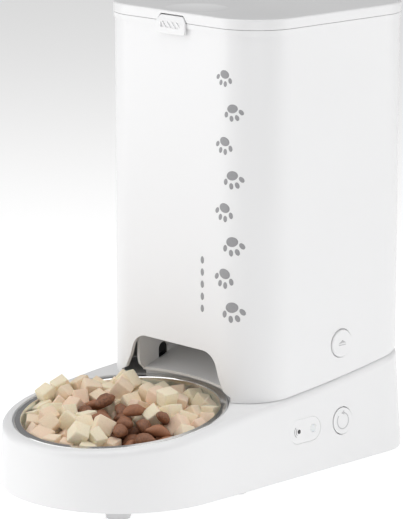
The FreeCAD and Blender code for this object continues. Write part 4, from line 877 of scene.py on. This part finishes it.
class FEEDER_OT_front_print(bpy.types.Operator):
    """Prints a trail of paw marks down the front of the tower"""
    bl_idname = "feeder.front_print"
    bl_label = "Front print"

    def execute(self, context):
        shell = context.scene.feeder_shell
        low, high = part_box("hopper_casing")
        front = low.y - 0.02
        marks = Marks((0, front, 0), (1, 0, 0), (0, 0, 1))
        line_x = high.x * 0.655
        top, bottom = 0.284, 0.124
        count, sway, lean = 8, 0.0035, 12
        for i in range(count):
            share = i / (count - 1)
            side = 1 if i % 2 else -1
            paw(marks, line_x + side * sway, top + (bottom - top) * share,
                shell.paw_width * (0.82 + 0.22 * share), 180 + side * lean)
        small_x = high.x * 0.355
        dot_top, dot_pitch = 0.156, 0.0085
        for i in range(5):
            marks.oval(small_x, dot_top - dot_pitch * i, 0.0016, 0.0026, steps=14, rings=2)
        lay_marks("front_print", marks.bm, "hopper_casing", (0, 1, 0), FINISHES["ink"],
                  shell.ink_height, "tower")
        return {"FINISHED"}


class FEEDER_OT_button_marks(bpy.types.Operator):
    """Prints the plain symbols on the feed button, the release button and the indicator"""
    bl_idname = "feeder.button_marks"
    bl_label = "Button marks"

    def side_marks(self, node):
        spot = middle(node)
        return Marks((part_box(node)[1].x + 0.02, spot.y, spot.z), (0, 1, 0), (0, 0, 1))

    def lay(self, name, marks, node, finish, context, slot, body):
        lay_marks(name, marks.bm, node, (-1, 0, 0), FINISHES[finish],
                  context.scene.feeder_shell.ink_height, body)

    def execute(self, context):
        feed = self.side_marks("feed_button")
        radius = 0.0056
        feed.band(0, 0, radius - 0.0004, radius + 0.0004, -225, 80, 40)
        tip = math.radians(80)
        u, v = radius * math.cos(tip), radius * math.sin(tip)
        feed.shape([(u - 0.0022, v + 0.0001), (u + 0.0006, v - 0.0015), (u + 0.0006, v + 0.0017)])
        self.lay("feed_mark", feed, "feed_button", "soft_ink", context, "button_white", "feed_key")

        release = self.side_marks("release_button")
        cap_half = (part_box("release_button")[1].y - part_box("release_button")[0].y) / 2
        release.origin.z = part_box("release_button")[1].z - cap_half
        release.shape([(-0.0036, 0.0001), (0.0036, 0.0001), (0, 0.0024)])
        release.shape([(-0.0036, -0.0014), (0.0036, -0.0014), (0.0036, -0.0008), (-0.0036, -0.0008)])
        self.lay("release_mark", release, "release_button", "soft_ink", context, "button_white",
                 "release_key")

        lamp = middle("indicator_light").y - middle("indicator_panel").y
        eye = -0.0059
        pair = self.side_marks("indicator_panel")
        for reach in (0.0029, 0.0045):
            pair.band(eye, 0, reach - 0.00028, reach + 0.00028, 132, 228, 16)
        pair.band(lamp, 0, 0.0024, 0.0031, 20, 300, 26)
        self.lay("indicator_print", pair, "indicator_panel", "ink", context, "panel_white", "base")
        dot = self.side_marks("indicator_panel")
        dot.oval(eye, 0, 0.0015, 0.0015, rings=2)
        self.lay("signal_eye", dot, "indicator_panel", "window", context, "sensor_dark", "base")
        return {"FINISHED"}


CAMERA_PLACE = (1.4757, -1.4203, 0.6091)


class FEEDER_OT_stage(bpy.types.Operator):
    """Sets the floor, the soft lights and the camera"""
    bl_idname = "feeder.stage"
    bl_label = "Stage"

    def floor(self):
        bm = bmesh.new()
        bmesh.ops.create_circle(bm, cap_ends=True, radius=14.0, segments=96)
        glow = bpy.context.scene.feeder_stage.floor_glow
        finish = Finish("floor_paint", (0.93, 0.93, 0.93), 0.8, Emission_Strength=glow)
        finish.bump(finish.noise(300.0), 0.02, 0.0002)
        floor = link("floor", mesh_from("floor", bm), finish.material)
        floor.location.z = -0.0002

    def softbox(self, name, azimuth, elevation, distance, width, height, power):
        low, high = (Vector(corner) for corner in CAD_BOX)
        target = (low + high) / 2
        around, above = math.radians(azimuth), math.radians(elevation)
        out = Vector((math.sin(around) * math.cos(above), -math.cos(around) * math.cos(above),
                      math.sin(above)))
        light = bpy.data.lights.new(name, "AREA")
        light.shape = "RECTANGLE"
        light.size, light.size_y = width, height
        light.energy = power
        lamp = bpy.data.objects.new(name, light)
        bpy.context.scene.collection.objects.link(lamp)
        lamp.location = target + out * distance
        lamp.rotation_mode = "QUATERNION"
        lamp.rotation_quaternion = out.to_track_quat("Z", "Y")

    def camera(self, stage):
        data = bpy.data.cameras.new("camera")
        camera = bpy.data.objects.new("camera", data)
        bpy.context.scene.collection.objects.link(camera)
        data.sensor_fit = "HORIZONTAL"
        data.sensor_width = 36.0
        data.lens = stage.lens
        data.clip_end = 60.0
        back = Vector((math.sin(stage.azimuth) * math.cos(stage.elevation),
                       -math.cos(stage.azimuth) * math.cos(stage.elevation),
                       math.sin(stage.elevation)))
        camera.location = CAMERA_PLACE
        camera.rotation_mode = "QUATERNION"
        camera.rotation_quaternion = (-back).to_track_quat("-Z", "Y")
        bpy.context.scene.camera = camera

    def execute(self, context):
        stage = context.scene.feeder_stage
        self.camera(stage)
        self.floor()
        self.softbox("front_softbox", -42, 20, 1.5, 1.3, 1.6, stage.front_light)
        self.softbox("side_softbox", 128, 24, 1.5, 1.3, 1.6, stage.side_light)
        self.softbox("top_softbox", 10, 82, 1.7, 1.8, 1.8, stage.top_light)
        self.softbox("fill_softbox", 52, 8, 1.0, 0.5, 0.3, stage.fill_light)
        world = bpy.data.worlds.new("studio")
        world.use_nodes = True
        world.node_tree.nodes["Background"].inputs["Color"].default_value = (1, 1, 1, 1)
        world.node_tree.nodes["Background"].inputs["Strength"].default_value = stage.sky
        context.scene.world = world
        context.scene.view_settings.view_transform = "Standard"
        return {"FINISHED"}


class FEEDER_PT_panel(bpy.types.Panel):
    """Lists the feeder's operators and settings"""
    bl_idname = "FEEDER_PT_panel"
    bl_label = "Pet feeder"
    bl_space_type = "VIEW_3D"
    bl_region_type = "UI"
    bl_category = "Feeder"

    def draw(self, context):
        for settings in (context.scene.feeder_shell, context.scene.feeder_food,
                         context.scene.feeder_stage):
            column = self.layout.box().column()
            for name in settings.__annotations__:
                column.prop(settings, name)
        for operator in OPERATORS:
            self.layout.operator(operator.bl_idname)


SETTINGS = {"feeder_shell": ShellSettings, "feeder_food": FoodSettings, "feeder_stage": StageSettings}
OPERATORS = (FEEDER_OT_stage, FEEDER_OT_finishes, FEEDER_OT_food, FEEDER_OT_front_print,
             FEEDER_OT_button_marks)


def register():
    for name, group in SETTINGS.items():
        bpy.utils.register_class(group)
        setattr(bpy.types.Scene, name, PointerProperty(type=group))
    for operator in OPERATORS:
        bpy.utils.register_class(operator)
    bpy.utils.register_class(FEEDER_PT_panel)


def unregister():
    bpy.utils.unregister_class(FEEDER_PT_panel)
    for operator in reversed(OPERATORS):
        bpy.utils.unregister_class(operator)
    for name, group in SETTINGS.items():
        delattr(bpy.types.Scene, name)
        bpy.utils.unregister_class(group)


def main():
    register()
    for operator in (bpy.ops.feeder.stage, bpy.ops.feeder.finishes, bpy.ops.feeder.food,
                     bpy.ops.feeder.front_print, bpy.ops.feeder.button_marks):
        operator()


if __name__ == "__main__":
    main()
